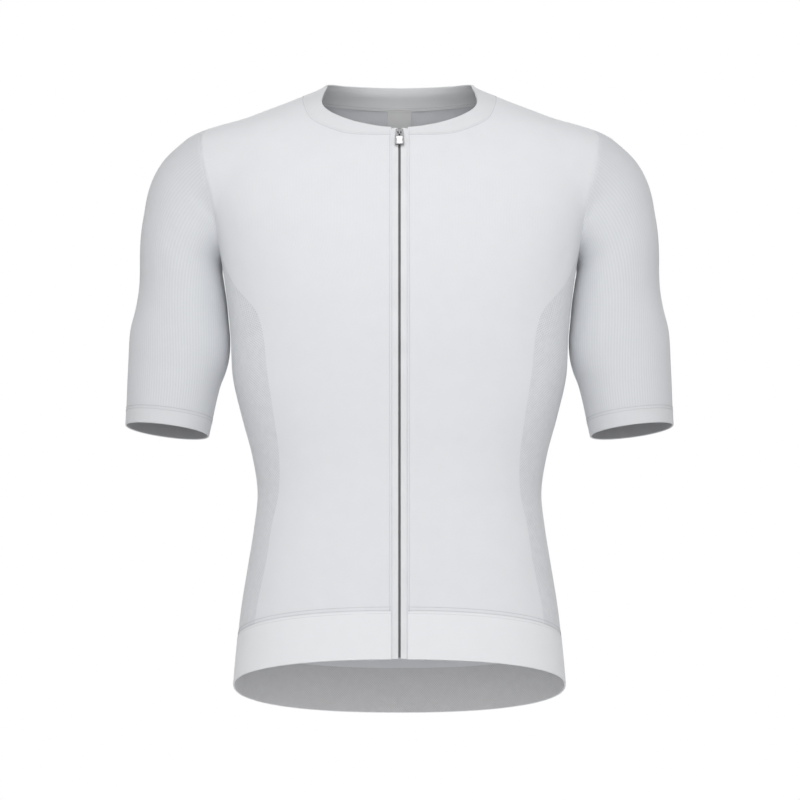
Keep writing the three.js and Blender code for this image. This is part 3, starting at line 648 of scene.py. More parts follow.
def shell(name, skin, grid, thickness, round_bottom=False, round_top=False, lift=0.0, lining=None):
    """A wall of cloth: its outer side on the skin, its free edges round, its seam edges square."""
    outer, out_normal = lifted(skin, grid, np.broadcast_to(lift, grid.shape[:-1]))
    inner = outer - out_normal * np.broadcast_to(thickness, grid.shape[:-1])[..., None]
    rows, cols = grid.shape[:2]

    def bead(j, toward):
        """Points and normals round a free edge, from the outer side to the inner one."""
        middle = (outer[j] + inner[j]) / 2
        out = (outer[j] - inner[j]) / 2
        way = unit(grid[j] - grid[toward])
        way = unit(way - (way * out_normal[j]).sum(-1, keepdims=True) * out_normal[j])
        reach = way * np.linalg.norm(out, axis=-1, keepdims=True)
        edge = []
        for a in np.linspace(0, math.pi, EDGE_STEPS + 2)[1:-1]:
            normal = unit(out_normal[j] * math.cos(a) + way * math.sin(a))
            edge.append((middle + out * math.cos(a) + reach * math.sin(a), normal, down[j]))
        return edge

    down = lengths_along(grid, 0)
    wall = list(zip(outer, out_normal, down))
    if round_top:
        wall += bead(rows - 1, rows - 2)
    wall += list(zip(inner, -out_normal, down))[::-1]
    if round_bottom:
        wall += bead(0, 1)[::-1]
    points, normals, lengths = (np.array(column) for column in zip(*wall))
    across = np.linspace(0, 1, cols) * lengths_along(grid, 1)[:, -1].mean()
    uvs = np.stack([np.broadcast_to(across, lengths.shape), lengths], -1) * MM
    count = len(points)
    faces = []
    for j in range(count):
        k = (j + 1) % count
        for i in range(cols - 1):
            faces.append((j * cols + i, j * cols + i + 1, k * cols + i + 1, k * cols + i))
    bottom_ring = list(range(count - (EDGE_STEPS if round_bottom else 0), count))
    top_ring = list(range(rows, rows + (EDGE_STEPS if round_top else 0)))

    def inner_row(j):
        return rows + len(top_ring) + (rows - 1 - j)

    for i, turned in ((0, False), (cols - 1, True)):
        caps = [[j, j + 1, inner_row(j + 1), inner_row(j)] for j in range(rows - 1)]
        if top_ring:
            caps.append([rows - 1] + top_ring + [inner_row(rows - 1)])
        if bottom_ring:
            caps.append([inner_row(0)] + bottom_ring + [0])
        for cap in caps:
            cap = [j * cols + i for j in cap]
            faces.append(tuple(cap if turned else cap[::-1]))
    obj_points = points.reshape(-1, 3)
    faces = facing_out(obj_points, faces)
    obj = new_object(name, obj_points, faces, normals.reshape(-1, 3), uvs.reshape(-1, 2))
    if lining:
        first = (rows + len(top_ring)) * (cols - 1)
        for face in obj.data.polygons[first : first + (rows - 1) * (cols - 1)]:
            face.material_index = 1
    return obj


def facing_out(points, faces):
    """The faces of a closed body, turned over where they would face inwards."""
    volume = 0.0
    for face in faces:
        a, b, c = (points[i] for i in face[:3])
        volume += np.dot(a, np.cross(b, c)) * (1 if len(face) == 3 else 2)
    return faces if volume > 0 else [face[::-1] for face in faces]


# Materials
def set_inputs(made, values):
    for name, value in values.items():
        made.inputs[name].default_value = value


def node(tree, kind, inputs=(), **settings):
    made = tree.nodes.new(kind)
    for name, value in settings.items():
        setattr(made, name, value)
    set_inputs(made, dict(inputs))
    return made


def link(tree, a, out, b, into):
    tree.links.new(a.outputs[out], b.inputs[into])


def new_material(name, color, roughness, metallic=0.0):
    made = bpy.data.materials.new(name)
    made.use_nodes = True
    shader = made.node_tree.nodes["Principled BSDF"]
    set_inputs(shader, {"Base Color": (*color, 1), "Roughness": roughness, "Metallic": metallic})
    return made, made.node_tree, shader


def scaled_uv(tree, across, along):
    """The cloth's own coordinates, in repeats of a pattern of this size in metres."""
    uv = node(tree, "ShaderNodeUVMap", uv_map="cloth")
    mapping = node(tree, "ShaderNodeMapping", {"Scale": (1 / across, 1 / along, 1)})
    link(tree, uv, "UV", mapping, "Vector")
    return mapping


def math_node(tree, operation, a, b=None):
    made = node(tree, "ShaderNodeMath", operation=operation)
    for index, value in enumerate((a, b)):
        if value is None:
            continue
        if isinstance(value, (int, float)):
            made.inputs[index].default_value = value
        else:
            tree.links.new(value, made.inputs[index])
    return made.outputs[0]


def wave(tree, coordinate, strength=1.0):
    """A cosine of one repeat, from 0 to strength."""
    calc = partial(math_node, tree)
    turned = calc("COSINE", calc("MULTIPLY", coordinate, 2 * math.pi))
    return calc("MULTIPLY", calc("ADD", turned, 1.0), strength / 2)


def split(tree, vector_node):
    made = node(tree, "ShaderNodeSeparateXYZ")
    link(tree, vector_node, "Vector", made, "Vector")
    return made.outputs["X"], made.outputs["Y"]


def color_by(tree, height, low, high, dark, light):
    ramp = node(tree, "ShaderNodeMapRange", {"From Min": low, "From Max": high})
    tree.links.new(height, ramp.inputs["Value"])
    mixer = node(tree, "ShaderNodeMix", data_type="RGBA")
    mixer.inputs[6].default_value = (*dark, 1)
    mixer.inputs[7].default_value = (*light, 1)
    tree.links.new(ramp.outputs["Result"], mixer.inputs[0])
    return mixer.outputs[2]


def bumped(tree, shader, height, strength, distance):
    bump = node(tree, "ShaderNodeBump", {"Strength": strength, "Distance": distance})
    tree.links.new(height, bump.inputs["Height"])
    link(tree, bump, "Normal", shader, "Normal")


def clouds(tree, scale, detail=3.0):
    """Slow unevenness over the cloth, from 0 to 1."""
    place = node(tree, "ShaderNodeTexCoord")
    noise = node(tree, "ShaderNodeTexNoise", {"Scale": scale, "Detail": detail})
    link(tree, place, "Object", noise, "Vector")
    return noise.outputs["Fac"]


CLOTH_FINISH = {"Sheen Weight": 0.25, "Sheen Roughness": 0.5, "Specular IOR Level": 0.25}

# Heights where the dark and the light colour of a weave begin, the scale of its unevenness, and its bump
KNIT_LOOK = {"low": 0.1, "high": 1.3, "grain": 55.0, "bump": 0.35, "rise": 0.0002}
MESH_LOOK = {"low": 0.3, "high": 1.35, "grain": 160.0, "bump": 0.5, "rise": 0.0003}
PLAIN_LOOK = {"low": 0.25, "high": 0.75, "grain": 40.0, "rise": 0.0002}
UNEVENNESS = 0.5
STITCH_LEAN = 0.5
EYELET_SQUEEZE = 0.35
EYELET_RIM = 3.2


def weave_finish(tree, shader, height, dark, light, look, rib=0.0):
    """Colours a weave by its height and some unevenness, and raises it."""
    calc = partial(math_node, tree)
    uneven = calc("MULTIPLY", clouds(tree, look["grain"]), UNEVENNESS)
    total = calc("ADD", height, uneven)
    color = color_by(tree, total, look["low"], look["high"] + rib, dark, light)
    tree.links.new(color, shader.inputs["Base Color"])
    bumped(tree, shader, height, look["bump"], look["rise"])
    set_inputs(shader, CLOTH_FINISH)


def knit_material(name, dark, light, wale, course, rib=0.0, rib_pitch=0.0, rough=0.8):
    """Jersey knit: columns of stitches, with broader lengthwise ribs where rib is over 0."""
    made, tree, shader = new_material(name, light, rough)
    calc = partial(math_node, tree)
    x, y = split(tree, scaled_uv(tree, wale, course))
    lean = calc("MULTIPLY", calc("ABSOLUTE", calc("SINE", calc("MULTIPLY", x, math.pi))), STITCH_LEAN)
    height = calc("ADD", wave(tree, calc("ADD", y, lean), 0.5), wave(tree, x, 0.5))
    if rib:
        across, _ = split(tree, scaled_uv(tree, rib_pitch, 1.0))
        height = calc("ADD", height, wave(tree, across, rib))
    weave_finish(tree, shader, height, dark, light, KNIT_LOOK, rib)
    return made


def mesh_material(name, dark, light, pitch, rough=0.85):
    """Open mesh: rows of small eyelets, two to a pitch, set between each other."""
    made, tree, shader = new_material(name, light, rough)
    calc = partial(math_node, tree)
    x, y = split(tree, scaled_uv(tree, pitch, pitch))
    rows = calc("MULTIPLY", y, 2.0)
    odd = calc("MODULO", calc("FLOOR", rows), 2.0)
    shifted_x = calc("ADD", x, calc("MULTIPLY", odd, 0.5))
    off_x = calc("SUBTRACT", calc("FRACT", shifted_x), 0.5)
    off_y = calc("SUBTRACT", calc("FRACT", rows), 0.5)
    tall = calc("MULTIPLY", calc("MULTIPLY", off_y, off_y), EYELET_SQUEEZE)
    square = calc("ADD", calc("MULTIPLY", off_x, off_x), tall)
    rim = calc("MULTIPLY", calc("SQRT", square), EYELET_RIM)
    weave_finish(tree, shader, calc("MINIMUM", rim, 1.0), dark, light, MESH_LOOK)
    return made


def plain_material(name, dark, light, rough, grain=900.0, metallic=0.0, bump=0.12, cloth=False):
    """A smooth finish with a fine grain and slow unevenness."""
    made, tree, shader = new_material(name, light, rough, metallic)
    uneven = clouds(tree, PLAIN_LOOK["grain"])
    color = color_by(tree, uneven, PLAIN_LOOK["low"], PLAIN_LOOK["high"], dark, light)
    tree.links.new(color, shader.inputs["Base Color"])
    bumped(tree, shader, clouds(tree, grain, 2.0), bump, PLAIN_LOOK["rise"])
    if cloth:
        set_inputs(shader, CLOTH_FINISH)
    return made


# Repeats of the weaves, in metres across and along the cloth
KNIT = (0.0011, 0.0009)
BAND_STITCH = (0.0008, 0.0008)
RIB = 0.8
RIB_PITCH = 0.0034
EYELET_PITCH = 0.0030
GRIPPER_PITCH = 0.0026

WHITE_KNIT = knit_material("white_knit", (0.77, 0.785, 0.81), (0.85, 0.862, 0.885), *KNIT)
# The sleeves' rib knit: greyer than the body's knit, partly as its own tone and partly as painted shade on
# the sleeves
RIB_KNIT_AND_PAINTED_SHADE = knit_material("rib_knit_and_painted_shade", (0.66, 0.675, 0.70), (0.76, 0.775, 0.80), *KNIT, RIB, RIB_PITCH)
# The side mesh: a little darker than the body's knit, partly as its own tone and partly as painted shade on
# the body's sides
SIDE_MESH_AND_PAINTED_SHADE = mesh_material("side_mesh", (0.58, 0.595, 0.62), (0.80, 0.815, 0.84), EYELET_PITCH)
BAND_KNIT = knit_material("band_knit", (0.84, 0.85, 0.87), (0.90, 0.91, 0.93), *BAND_STITCH, rough=0.7)
COLLAR_KNIT = knit_material("collar_knit", (0.75, 0.76, 0.78), (0.82, 0.83, 0.85), *BAND_STITCH, rough=0.7)
# The collar's inside: the band knit made far lighter than the collar's outside, as painted light inside the
# neck
NECK_LINING_PAINTED_LIGHT = knit_material("neck_lining_painted_light", (0.93, 0.935, 0.94), (0.97, 0.975, 0.98), *BAND_STITCH, rough=0.7)
# The cuff band: darkened to the sleeves' tone, partly its own tone and partly painted shade
CUFF_KNIT_AND_PAINTED_SHADE = knit_material("cuff_knit_and_painted_shade", (0.68, 0.69, 0.71), (0.76, 0.77, 0.79), *BAND_STITCH, rough=0.75)
GRIPPER = mesh_material("gripper", (0.80, 0.80, 0.81), (0.62, 0.62, 0.63), GRIPPER_PITCH, rough=0.6)
# A darker copy of the hem's gripper for the inside of the cuffs: painted shade in the cuffs' mouths
CUFF_GRIPPER_PAINTED_SHADE = mesh_material("cuff_gripper_painted_shade", (0.52, 0.52, 0.53), (0.40, 0.40, 0.41), GRIPPER_PITCH, rough=0.6)
TAPE = plain_material("zip_tape", (0.78, 0.79, 0.81), (0.84, 0.85, 0.87), 0.65, cloth=True)
# Grey thread: partly the thread's own colour and partly painted shade in the grooves of the stitching
THREAD_AND_PAINTED_SHADE = plain_material("thread_and_painted_shade", (0.42, 0.43, 0.45), (0.52, 0.53, 0.55), 0.6)
COIL = plain_material("zip_coil", (0.12, 0.12, 0.125), (0.18, 0.18, 0.19), 0.4)
METAL = plain_material(
    "zip_metal", (0.10, 0.10, 0.105), (0.17, 0.17, 0.175), 0.34, grain=400.0, metallic=1.0, bump=0.05
)
GLOSS = plain_material("pull_enamel", (0.80, 0.81, 0.82), (0.90, 0.90, 0.91), 0.18, grain=300.0, bump=0.02)
LABEL_CLOTH = plain_material("label_satin", (0.84, 0.84, 0.83), (0.90, 0.90, 0.89), 0.5, cloth=True)


def cloth_piece(name, skin, grid, thickness, material, slot, held="stretched", rests_on=(), **options):
    """A panel's shell in place of its solid, which is hidden."""
    obj = shell(name, skin, grid, thickness, **options)
    obj.data.materials.append(material)
    if options.get("lining"):
        obj.data.materials.append(options["lining"])
    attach(obj, "root")
    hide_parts(name.removesuffix("_cloth"))
    return obj


def cloth_pair(name, skin, grid, *finish, **options):
    cloth_piece(name + "_left_cloth", skin, grid, *finish, **options)
    cloth_piece(name + "_right_cloth", skin, mirrored(grid)[:, ::-1], *finish, **options)


# Panels
hem_front = hem_line(FRONT_COLS, hem_start(HEM_BAND), front_foot, HEM_BAND)
front_grid = patch(
    body_skin,
    hem_front,
    shoulder_line(FRONT_COLS),
    joined(centre_line, neck_front),
    joined(side_front, armhole_front),
)
cloth_pair("front", body_skin, front_grid, CLOTH, WHITE_KNIT, "knit")

shoulder_back = shoulder_line(SHOULDER_COLS)
back_top = joined(shoulder_back[::-1], neck_back, mirrored(shoulder_back))
back_side = joined(side_back, armhole_back)
BACK_COLS = NECK_BACK + 2 * SHOULDER_COLS
hem_back_seam = hem_line(BACK_COLS, back_foot, 360 - back_foot, HEM_BAND)
back_grid = patch(body_skin, hem_back_seam, back_top, back_side, mirrored(back_side))
cloth_piece("back_cloth", body_skin, back_grid, CLOTH, WHITE_KNIT, "knit")

hem_side = joined(
    hem_line(SIDE_COLS // 2, front_foot, side_middle, HEM_BAND),
    hem_line(SIDE_COLS // 2, side_middle, back_foot, HEM_BAND),
)
side_grid = patch(body_skin, hem_side, armhole_under, side_front, side_back)
cloth_pair("side_panel", body_skin, side_grid, CLOTH, SIDE_MESH_AND_PAINTED_SHADE, "side_mesh")

# Sleeves
SLEEVE_COLS = 2 * ARMHOLE_ARC + SIDE_COLS
# How far the sleeve's lines keep their way out of the armhole, as a share of their span
HEAD_REACH = 0.42
armhole_loop = joined(
    armhole_under[: SIDE_COLS // 2 + 1][::-1],
    armhole_front,
    armhole_back[::-1],
    armhole_under[SIDE_COLS // 2 :][::-1],
)


def cuff_loop(down):
    ring = arm_ring(np.array(float(down)))
    middle = ARM_TOP + ARM_DOWN * down + ARM_OUT * (ring["inner"] + ring["outer"]) / 2

    def at(t):
        angle = (2 * math.pi * t)[:, None]
        way = -ARM_OUT * np.cos(angle) - ARM_BACK * np.sin(angle)
        return settle_along(sleeve_skin, np.broadcast_to(middle, way.shape), way)

    return seam(SLEEVE_COLS, at)


cuff_seam = cuff_loop(CUFF_END - CUFF_BAND)
span = np.linalg.norm(cuff_seam - armhole_loop, axis=1, keepdims=True) * HEAD_REACH
top_share = (1 - np.cos(2 * math.pi * np.arange(SLEEVE_COLS + 1) / SLEEVE_COLS))[:, None] / 2
leave = unit(ARM_DOWN * (1 - top_share) + np.array([1.0, 0, 0]) * top_share)
t = np.linspace(0, 1, SLEEVE_ROWS + 1)[:, None, None]
sleeve_grid = (
    (1 - t) ** 3 * armhole_loop
    + 3 * (1 - t) ** 2 * t * (armhole_loop + leave * span)
    + 3 * (1 - t) * t**2 * (cuff_seam - ARM_DOWN * span)
    + t**3 * cuff_seam
)
for column in (0, -1):
    sleeve_grid[1:-1, column] = settle(sleeve_skin, sleeve_grid[1:-1, column])
sleeve_grid[:, -1] = sleeve_grid[:, 0]
relaxed(sleeve_skin, sleeve_grid, SLEEVE_ROUNDS)
cloth_pair("sleeve", sleeve_skin, sleeve_grid, CLOTH, RIB_KNIT_AND_PAINTED_SHADE, "sleeve_knit")
cuff_downs = np.linspace(CUFF_END - CUFF_BAND, CUFF_END - BAND / 2, CUFF_ROWS + 1)
cuff_grid = np.stack([cuff_loop(down) for down in cuff_downs])
# The cuffs' inner side takes the darker gripper, which is painted shade
CUFF_FINISH = dict(round_top=True, lift=BAND_LIFT, lining=CUFF_GRIPPER_PAINTED_SHADE)
cloth_pair("cuff_band", sleeve_skin, cuff_grid, BAND, CUFF_KNIT_AND_PAINTED_SHADE, "band", **CUFF_FINISH)

# Collar, its top edge lowered by part of the round edge's height
EDGE_DROP = COLLAR / 2 * 0.7
neck_half = joined(neck_front, neck_back[: NECK_BACK // 2 + 1])
neck_turns = turn_of(neck_half, NECK_CENTRE_Y)
edge_turns = neck_turns.copy()
edge_turns[0] = edge_start
collar_half = []
for share in np.linspace(0, 1, COLLAR_ROWS + 1):
    turns = mix(neck_turns, edge_turns, share)
    heights = neck_at(turns)
    edge = heights["edge"] - EDGE_DROP * share
    collar_half.append(neck_point(turns, mix(heights["seam"], edge, share)))
collar_half = np.stack(collar_half)
collar_grid = np.concatenate([collar_half, mirrored(collar_half)[:, -2::-1]], axis=1)
# The collar's inner side takes the lighter copy of the knit, which is painted light
COLLAR_FINISH = dict(round_top=True, lift=BAND_LIFT, lining=NECK_LINING_PAINTED_LIGHT)
cloth_piece("collar_cloth", torso_distance, collar_grid, COLLAR, COLLAR_KNIT, "band", **COLLAR_FINISH)


# Hem bands
def hem_grid(count, start, end):
    rows = []
    for level in np.linspace(HEM_BAND, BAND / 2, HEM_ROWS + 1):
        first = hem_start(level) if start is None else start
        rows.append(hem_line(count, first, end, level))
    return np.stack(rows)


hem_front_grid = np.concatenate(
    [hem_grid(FRONT_COLS, None, front_foot), hem_grid(SIDE_COLS // 2, front_foot, side_middle)[:, 1:]], axis=1
)
HEM_FINISH = dict(round_top=True, round_bottom=True, lift=HEM_LIFT, lining=GRIPPER)
cloth_pair("hem_front", body_skin, hem_front_grid, BAND, BAND_KNIT, "band", **HEM_FINISH)
hem_side_back = hem_grid(SIDE_COLS // 2, side_middle, back_foot)
hem_back_grid = np.concatenate(
    [
        hem_side_back,
        hem_grid(BACK_COLS, back_foot, 360 - back_foot)[:, 1:],
        mirrored(hem_side_back)[:, -2::-1],
    ],
    axis=1,
)
cloth_piece("hem_back_cloth", body_skin, hem_back_grid, BAND, BAND_KNIT, "band", **HEM_FINISH)

# Zip tapes, from the hem's edge to the collar's
ZIP_TOP_Z = NECK[0][2] - 0.6
ZIP_FOOT_Z = hem_point(np.array([hem_start(0)]), 0)[0, 2] + BAND / 2
TAPE_COLS = 160
zip_z = np.linspace(ZIP_FOOT_Z, ZIP_TOP_Z, TAPE_COLS + 1)
# Across the tape: the place, how far it stands from the skin, and its thickness. Its outer edge is
# tucked behind the front panel.
TAPE_ACROSS = (
    (1.2, -0.45, 1.1),
    (1.35, -0.05, 1.6),
    (1.7, 0.2, 1.6),
    (2.6, 0.3, 1.6),
    (4.4, 0.3, 1.6),
    (6.1, 0.25, 1.6),
    (6.9, 0.05, 1.6),
    (7.2, -0.4, 1.3),
    (7.4, -1.3, 0.6),
    (9.5, -1.35, 0.6),
    (11.6, -1.4, 0.6),
)
tape_x, tape_lift, tape_thick = (np.array(column)[:, None] for column in zip(*TAPE_ACROSS))
tape_grid = np.stack([centre_point(np.full(zip_z.shape, x), zip_z) for x in tape_x[:, 0]])
cloth_pair("zip_tape", body_skin, tape_grid, tape_thick, TAPE, "zip_tape", lift=tape_lift)

# Rear pockets
below_top = back_grid[:, BACK_COLS // 2, 2] < HEM_SIDE_Z + POCKET_LEVEL
pocket_grid = back_grid[: np.flatnonzero(below_top)[-1] + 1, 1:-1]
cloth_piece(
    "rear_pockets_cloth", body_skin, pocket_grid, CLOTH, WHITE_KNIT, "knit",
    rests_on=["back_cloth"], lift=POCKET_LIFT + CLOTH, round_top=True,
)

# Neck label
LABEL_STEPS = 12
LABEL_IN = COLLAR + LABEL["clear"]
label_z = np.linspace(LABEL["top"] - LABEL["drop"], LABEL["top"], LABEL_STEPS + 1)
label_x = np.linspace(LABEL["width"] / 2, -LABEL["width"] / 2, LABEL_STEPS + 1)
label_start = places(label_x[None, :] + 0 * label_z[:, None], 0, label_z[:, None] + 0 * label_x[None, :])
label_grid = settle_along(torso_distance, label_start, places(0 * label_start[..., 0], 1, 0))
cloth_piece(
    "neck_label_cloth", torso_distance, label_grid, LABEL["thick"], LABEL_CLOTH, "label",
    held="hung", rests_on=["collar_cloth"], lift=-LABEL_IN, round_bottom=True,
)


def tube_faces(rings, sides):
    """The faces of a closed tube of rings, its two ends included."""
    faces = [tuple(range(sides))[::-1], tuple((rings - 1) * sides + k for k in range(sides))]
    for r in range(rings - 1):
        for k in range(sides):
            n = (k + 1) % sides
            faces.append((r * sides + k, r * sides + n, (r + 1) * sides + n, (r + 1) * sides + k))
    return faces


# Stitching: short threads along a line, lying on the cloth.
# Rings along one stitch: the share of its length, of its radius, and how far it rises.
STITCH_RINGS = ((-0.5, 0.35, -0.9), (-0.3, 0.9, -0.1), (0.0, 1.0, 0.25), (0.3, 0.9, -0.1), (0.5, 0.35, -0.9))
STITCH_SIDES = 6


def stitch_run(line, normals, pitch, length, radius):
    at = lengths_of(line)
    count = max(int(at[-1] / pitch), 1)
    middles = (np.arange(count) + 0.5) * at[-1] / count
    along = unit(between(middles + length / 2, at, line) - between(middles - length / 2, at, line))
    up = unit(between(middles, at, normals))
    side = np.cross(along, up)
    middle = between(middles, at, line)
    points = []
    for share, wide, rise in STITCH_RINGS:
        centre = middle + along * length * share + up * radius * rise
        for a in np.linspace(0, 2 * math.pi, STITCH_SIDES, endpoint=False):
            points.append(centre + (side * math.cos(a) + up * math.sin(a)) * radius * wide)
    return np.stack(points, 1), tube_faces(len(STITCH_RINGS), STITCH_SIDES)


def stitches(name, runs, pitch=2.4, length=1.9, radius=0.22):
    """One object of many stitches along several lines, each line with the normals under it."""
    all_points, all_faces, first = [], [], 0
    for line, normals in runs:
        points, faces = stitch_run(line, normals, pitch, length, radius)
        flat = facing_out(points[0], faces)
        for k in range(len(points)):
            all_faces += [tuple(first + k * points.shape[1] + i for i in face) for face in flat]
        all_points.append(points.reshape(-1, 3))
        first += points.shape[0] * points.shape[1]
    obj = new_object(name, np.concatenate(all_points), all_faces)
    obj.data.materials.append(THREAD_AND_PAINTED_SHADE)
    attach(obj, "root")


def on_skin(skin, line, height):
    points, normals = lifted(skin, line[None], np.full((1, len(line)), height))
    return points[0], normals[0]


def both_sides(runs):
    return runs + [(mirrored(line), mirrored(normals)) for line, normals in runs]


def shifted(grid, row, toward, offset):
    """The line a few millimetres from one row of a grid, towards another."""
    return grid[row] + unit(grid[toward] - grid[row]) * offset


# Rows of stitches: how far past the band's seam each lies, and how far it stands from the skin
HEM_STITCHES = ((-1.2, 0.32), (2.0, 0.12), (5.2, 0.12))
CUFF_STITCHES = ((-1.4, 0.1), (1.6, 0.25))
# How far the other rows lie from their edges
COLLAR_STITCH_DROP = 1.6
NECK_STITCH_RISE = 3.4
POCKET_STITCH_DROPS = (12.0, 9.5)
ZIP_STITCH_X = 9.6
# Points along the lines that the stitches follow
HEM_POINTS = 90
DIVIDER_POINTS = 120
POCKET_POINTS = 160

hem_runs = []
for past, height in HEM_STITCHES:
    level = HEM_BAND + past
    hem_runs.append(on_skin(body_skin, hem_line(HEM_POINTS, hem_start(level), 180, level), height))
stitches("hem_stitching", both_sides(hem_runs))
cuff_runs = []
for past, height in CUFF_STITCHES:
    cuff_runs.append(on_skin(sleeve_skin, cuff_loop(CUFF_END - CUFF_BAND + past), height))
stitches("cuff_stitching", both_sides(cuff_runs))
seam_heights = neck_at(neck_turns)["seam"]
neck_rows = np.stack([neck_point(neck_turns, seam_heights - 3.0), neck_point(neck_turns, seam_heights)])
collar_run = on_skin(torso_distance, shifted(neck_rows, 1, 0, COLLAR_STITCH_DROP), THREAD_LIFT)
stitches("collar_stitching", both_sides([collar_run]), pitch=2.2, length=1.7, radius=0.18)
inside_line = shifted(collar_half, 0, 1, NECK_STITCH_RISE)
inside_line, inside_normals = on_skin(torso_distance, inside_line, -(COLLAR - THREAD_LIFT))
neck_runs = both_sides([(inside_line, -inside_normals)])
stitches("neck_stitching", neck_runs, pitch=2.6, length=1.7, radius=0.2)

dividers = (BACK_COLS // 3, BACK_COLS - BACK_COLS // 3)
pocket_lines = [even(pocket_grid[:, column], DIVIDER_POINTS) for column in dividers]
pocket_lines += [even(shifted(pocket_grid, -1, -2, drop), POCKET_POINTS) for drop in POCKET_STITCH_DROPS]
pocket_height = POCKET_LIFT + CLOTH + THREAD_LIFT
stitches("pocket_stitching", [on_skin(body_skin, line, pocket_height) for line in pocket_lines])
zip_run = on_skin(body_skin, centre_point(np.full(zip_z.shape, ZIP_STITCH_X), zip_z), THREAD_LIFT)
stitches("zip_stitching", both_sides([zip_run]), pitch=2.6, length=2.0, radius=0.16)
label_heights = np.full(label_grid.shape[:-1], -(LABEL_IN + LABEL["thick"]))
label_face, label_normals = lifted(torso_distance, label_grid, label_heights)
label_run = (label_face[-2, 1:-1], -label_normals[-2, 1:-1])
stitches("label_stitching", [label_run], pitch=1.8, length=1.3, radius=0.14)


# Zip: everything on it is placed in the slider's frame, with x across, y into the cloth and z up it
class Solid:
    """Closed bodies gathered into one object."""

    def __init__(self):
        self.points, self.faces, self.count = [], [], 0

    def add(self, points, faces):
        points = np.asarray(points, float)
        faces = facing_out(points - points.mean(0), faces)
        self.faces += [tuple(self.count + i for i in face) for face in faces]
        self.points.append(points)
        self.count += len(points)

    def object(self, name, material, body, place=None):
        points = np.concatenate(self.points)
        obj = new_object(name, points if place is None else place(points), self.faces, smooth=False)
        obj.data.materials.append(material)
        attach(obj, body)
        return obj


def slab(outline, low, high, bevel):
    """A plate with softened edges: its outline in x and z, from one height above the cloth to another."""
    outline = np.asarray(outline, float)
    middle = outline.mean(0)
    away = unit(outline - middle)
    layers = ((bevel, low), (bevel * 0.3, low + bevel * 0.3), (0, low + bevel))
    layers += ((0, high - bevel), (bevel * 0.3, high - bevel * 0.3), (bevel, high))
    rings = [np.insert(outline - away * inset, 1, -height, axis=1) for inset, height in layers]
    return np.concatenate(rings), tube_faces(len(rings), len(outline))


def rounded(half_top, half_low, high, low, radius, steps=6):
    """A rounded outline that widens from its top to its foot."""
    corners = (
        (half_low - radius, low + radius, -90),
        (half_top - radius, high - radius, 0),
        (-half_top + radius, high - radius, 90),
        (-half_low + radius, low + radius, 180),
    )
    points = []
    for x, z, start in corners:
        for k in range(steps + 1):
            angle = math.radians(start + 90 * k / steps)
            points.append((x + radius * math.cos(angle), z + radius * math.sin(angle)))
    return points


# A direction that no bar follows
OFF_AXIS = (0.31, 0.93, 0.2)


def bar(start, end, radius, sides=14):
    """A round bar between two points, with softened ends."""
    start, end = np.asarray(start, float), np.asarray(end, float)
    along = unit(end - start)
    side = unit(np.cross(along, OFF_AXIS))
    up = np.cross(along, side)
    rings = ((0, 0.7), (0.3 * radius, 1.0), (-0.3 * radius, 1.0), (0, 0.7))
    points = []
    for k, (inset, wide) in enumerate(rings):
        middle = (start if k < 2 else end) + along * inset
        for a in np.linspace(0, 2 * math.pi, sides, endpoint=False):
            points.append(middle + (side * math.cos(a) + up * math.sin(a)) * radius * wide)
    return np.array(points), tube_faces(len(rings), sides)


SLIDER_Z = -43
# The slider's plates and the posts and bar of its bail: the half widths of their outline at the top and
# the foot, its ends, its corner radius, the heights above the cloth from and to, and the softened edge
SLIDER_PLATES = (
    (3.7, 2.9, 4.5, -4.5, 1.6, 0.3, 2.1, 0.35),
    (2.6, 2.6, 4.9, 2.2, 1.2, 0.3, 1.8, 0.3),
    (0.8, 0.8, 3.0, -3.0, 0.3, -1.6, 0.5, 0.1),
    (3.5, 2.9, 4.4, -4.4, 1.6, -1.4, -0.9, 0.15),
    (0.85, 0.85, -1.7, -3.1, 0.3, 1.8, 4.2, 0.2),
    (0.85, 0.85, 3.1, 1.7, 0.3, 1.8, 4.2, 0.2),
    (0.85, 0.85, 3.1, -3.1, 0.5, 3.95, 4.7, 0.25),
)
# The pull tab, from its rod down
PULL_HALF_THICK = 0.55
PULL_ROD = {"reach": 3.4, "radius": 0.45}
PULL_PLATE = (4.2, 4.75, -4.5, -14.0, 1.6, -PULL_HALF_THICK, PULL_HALF_THICK, 0.25)
PULL_ARM = ((2.1, -5.2), (4.25, -5.2), (3.9, -0.6), (3.5, 0.3), (2.6, 0.4), (1.9, -0.4))
ARM_BEVEL = 0.2
# Half the outline of the inlay: its height and half width
INLAY = ((-5.0, 2.1), (-5.4, 2.9), (-6.2, 3.2), (-7.4, 3.0), (-8.8, 2.6))
INLAY += ((-10.2, 2.5), (-11.4, 2.9), (-12.4, 3.1), (-13.1, 2.6), (-13.4, 1.6))
INLAY_SUNK = 0.15
INLAY_RISE = 0.55
INLAY_BEVEL = 0.25
BAR_HEIGHT = 2.95
zip_point = centre_point(np.zeros(1), np.full(1, float(SLIDER_Z)))[0]
zip_out = outward(body_skin, zip_point)
tilt = -math.asin(zip_out[2])
TURN = np.array([
    (1, 0, 0),
    (0, math.cos(tilt), -math.sin(tilt)),
    (0, math.sin(tilt), math.cos(tilt)),
])


def in_zip_frame(points):
    return zip_point + points @ TURN.T


def plate(half_top, half_low, high, low, corner, near, far, bevel):
    return slab(rounded(half_top, half_low, high, low, corner), near, far, bevel)


slider = Solid()
for row in SLIDER_PLATES:
    slider.add(*plate(*row))
slider_obj = slider.object("zip_slider_metal", METAL, "root", in_zip_frame)
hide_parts("zip_slider")


def in_pull_frame(points):
    return in_zip_frame(points + [0, -BAR_HEIGHT, 0])


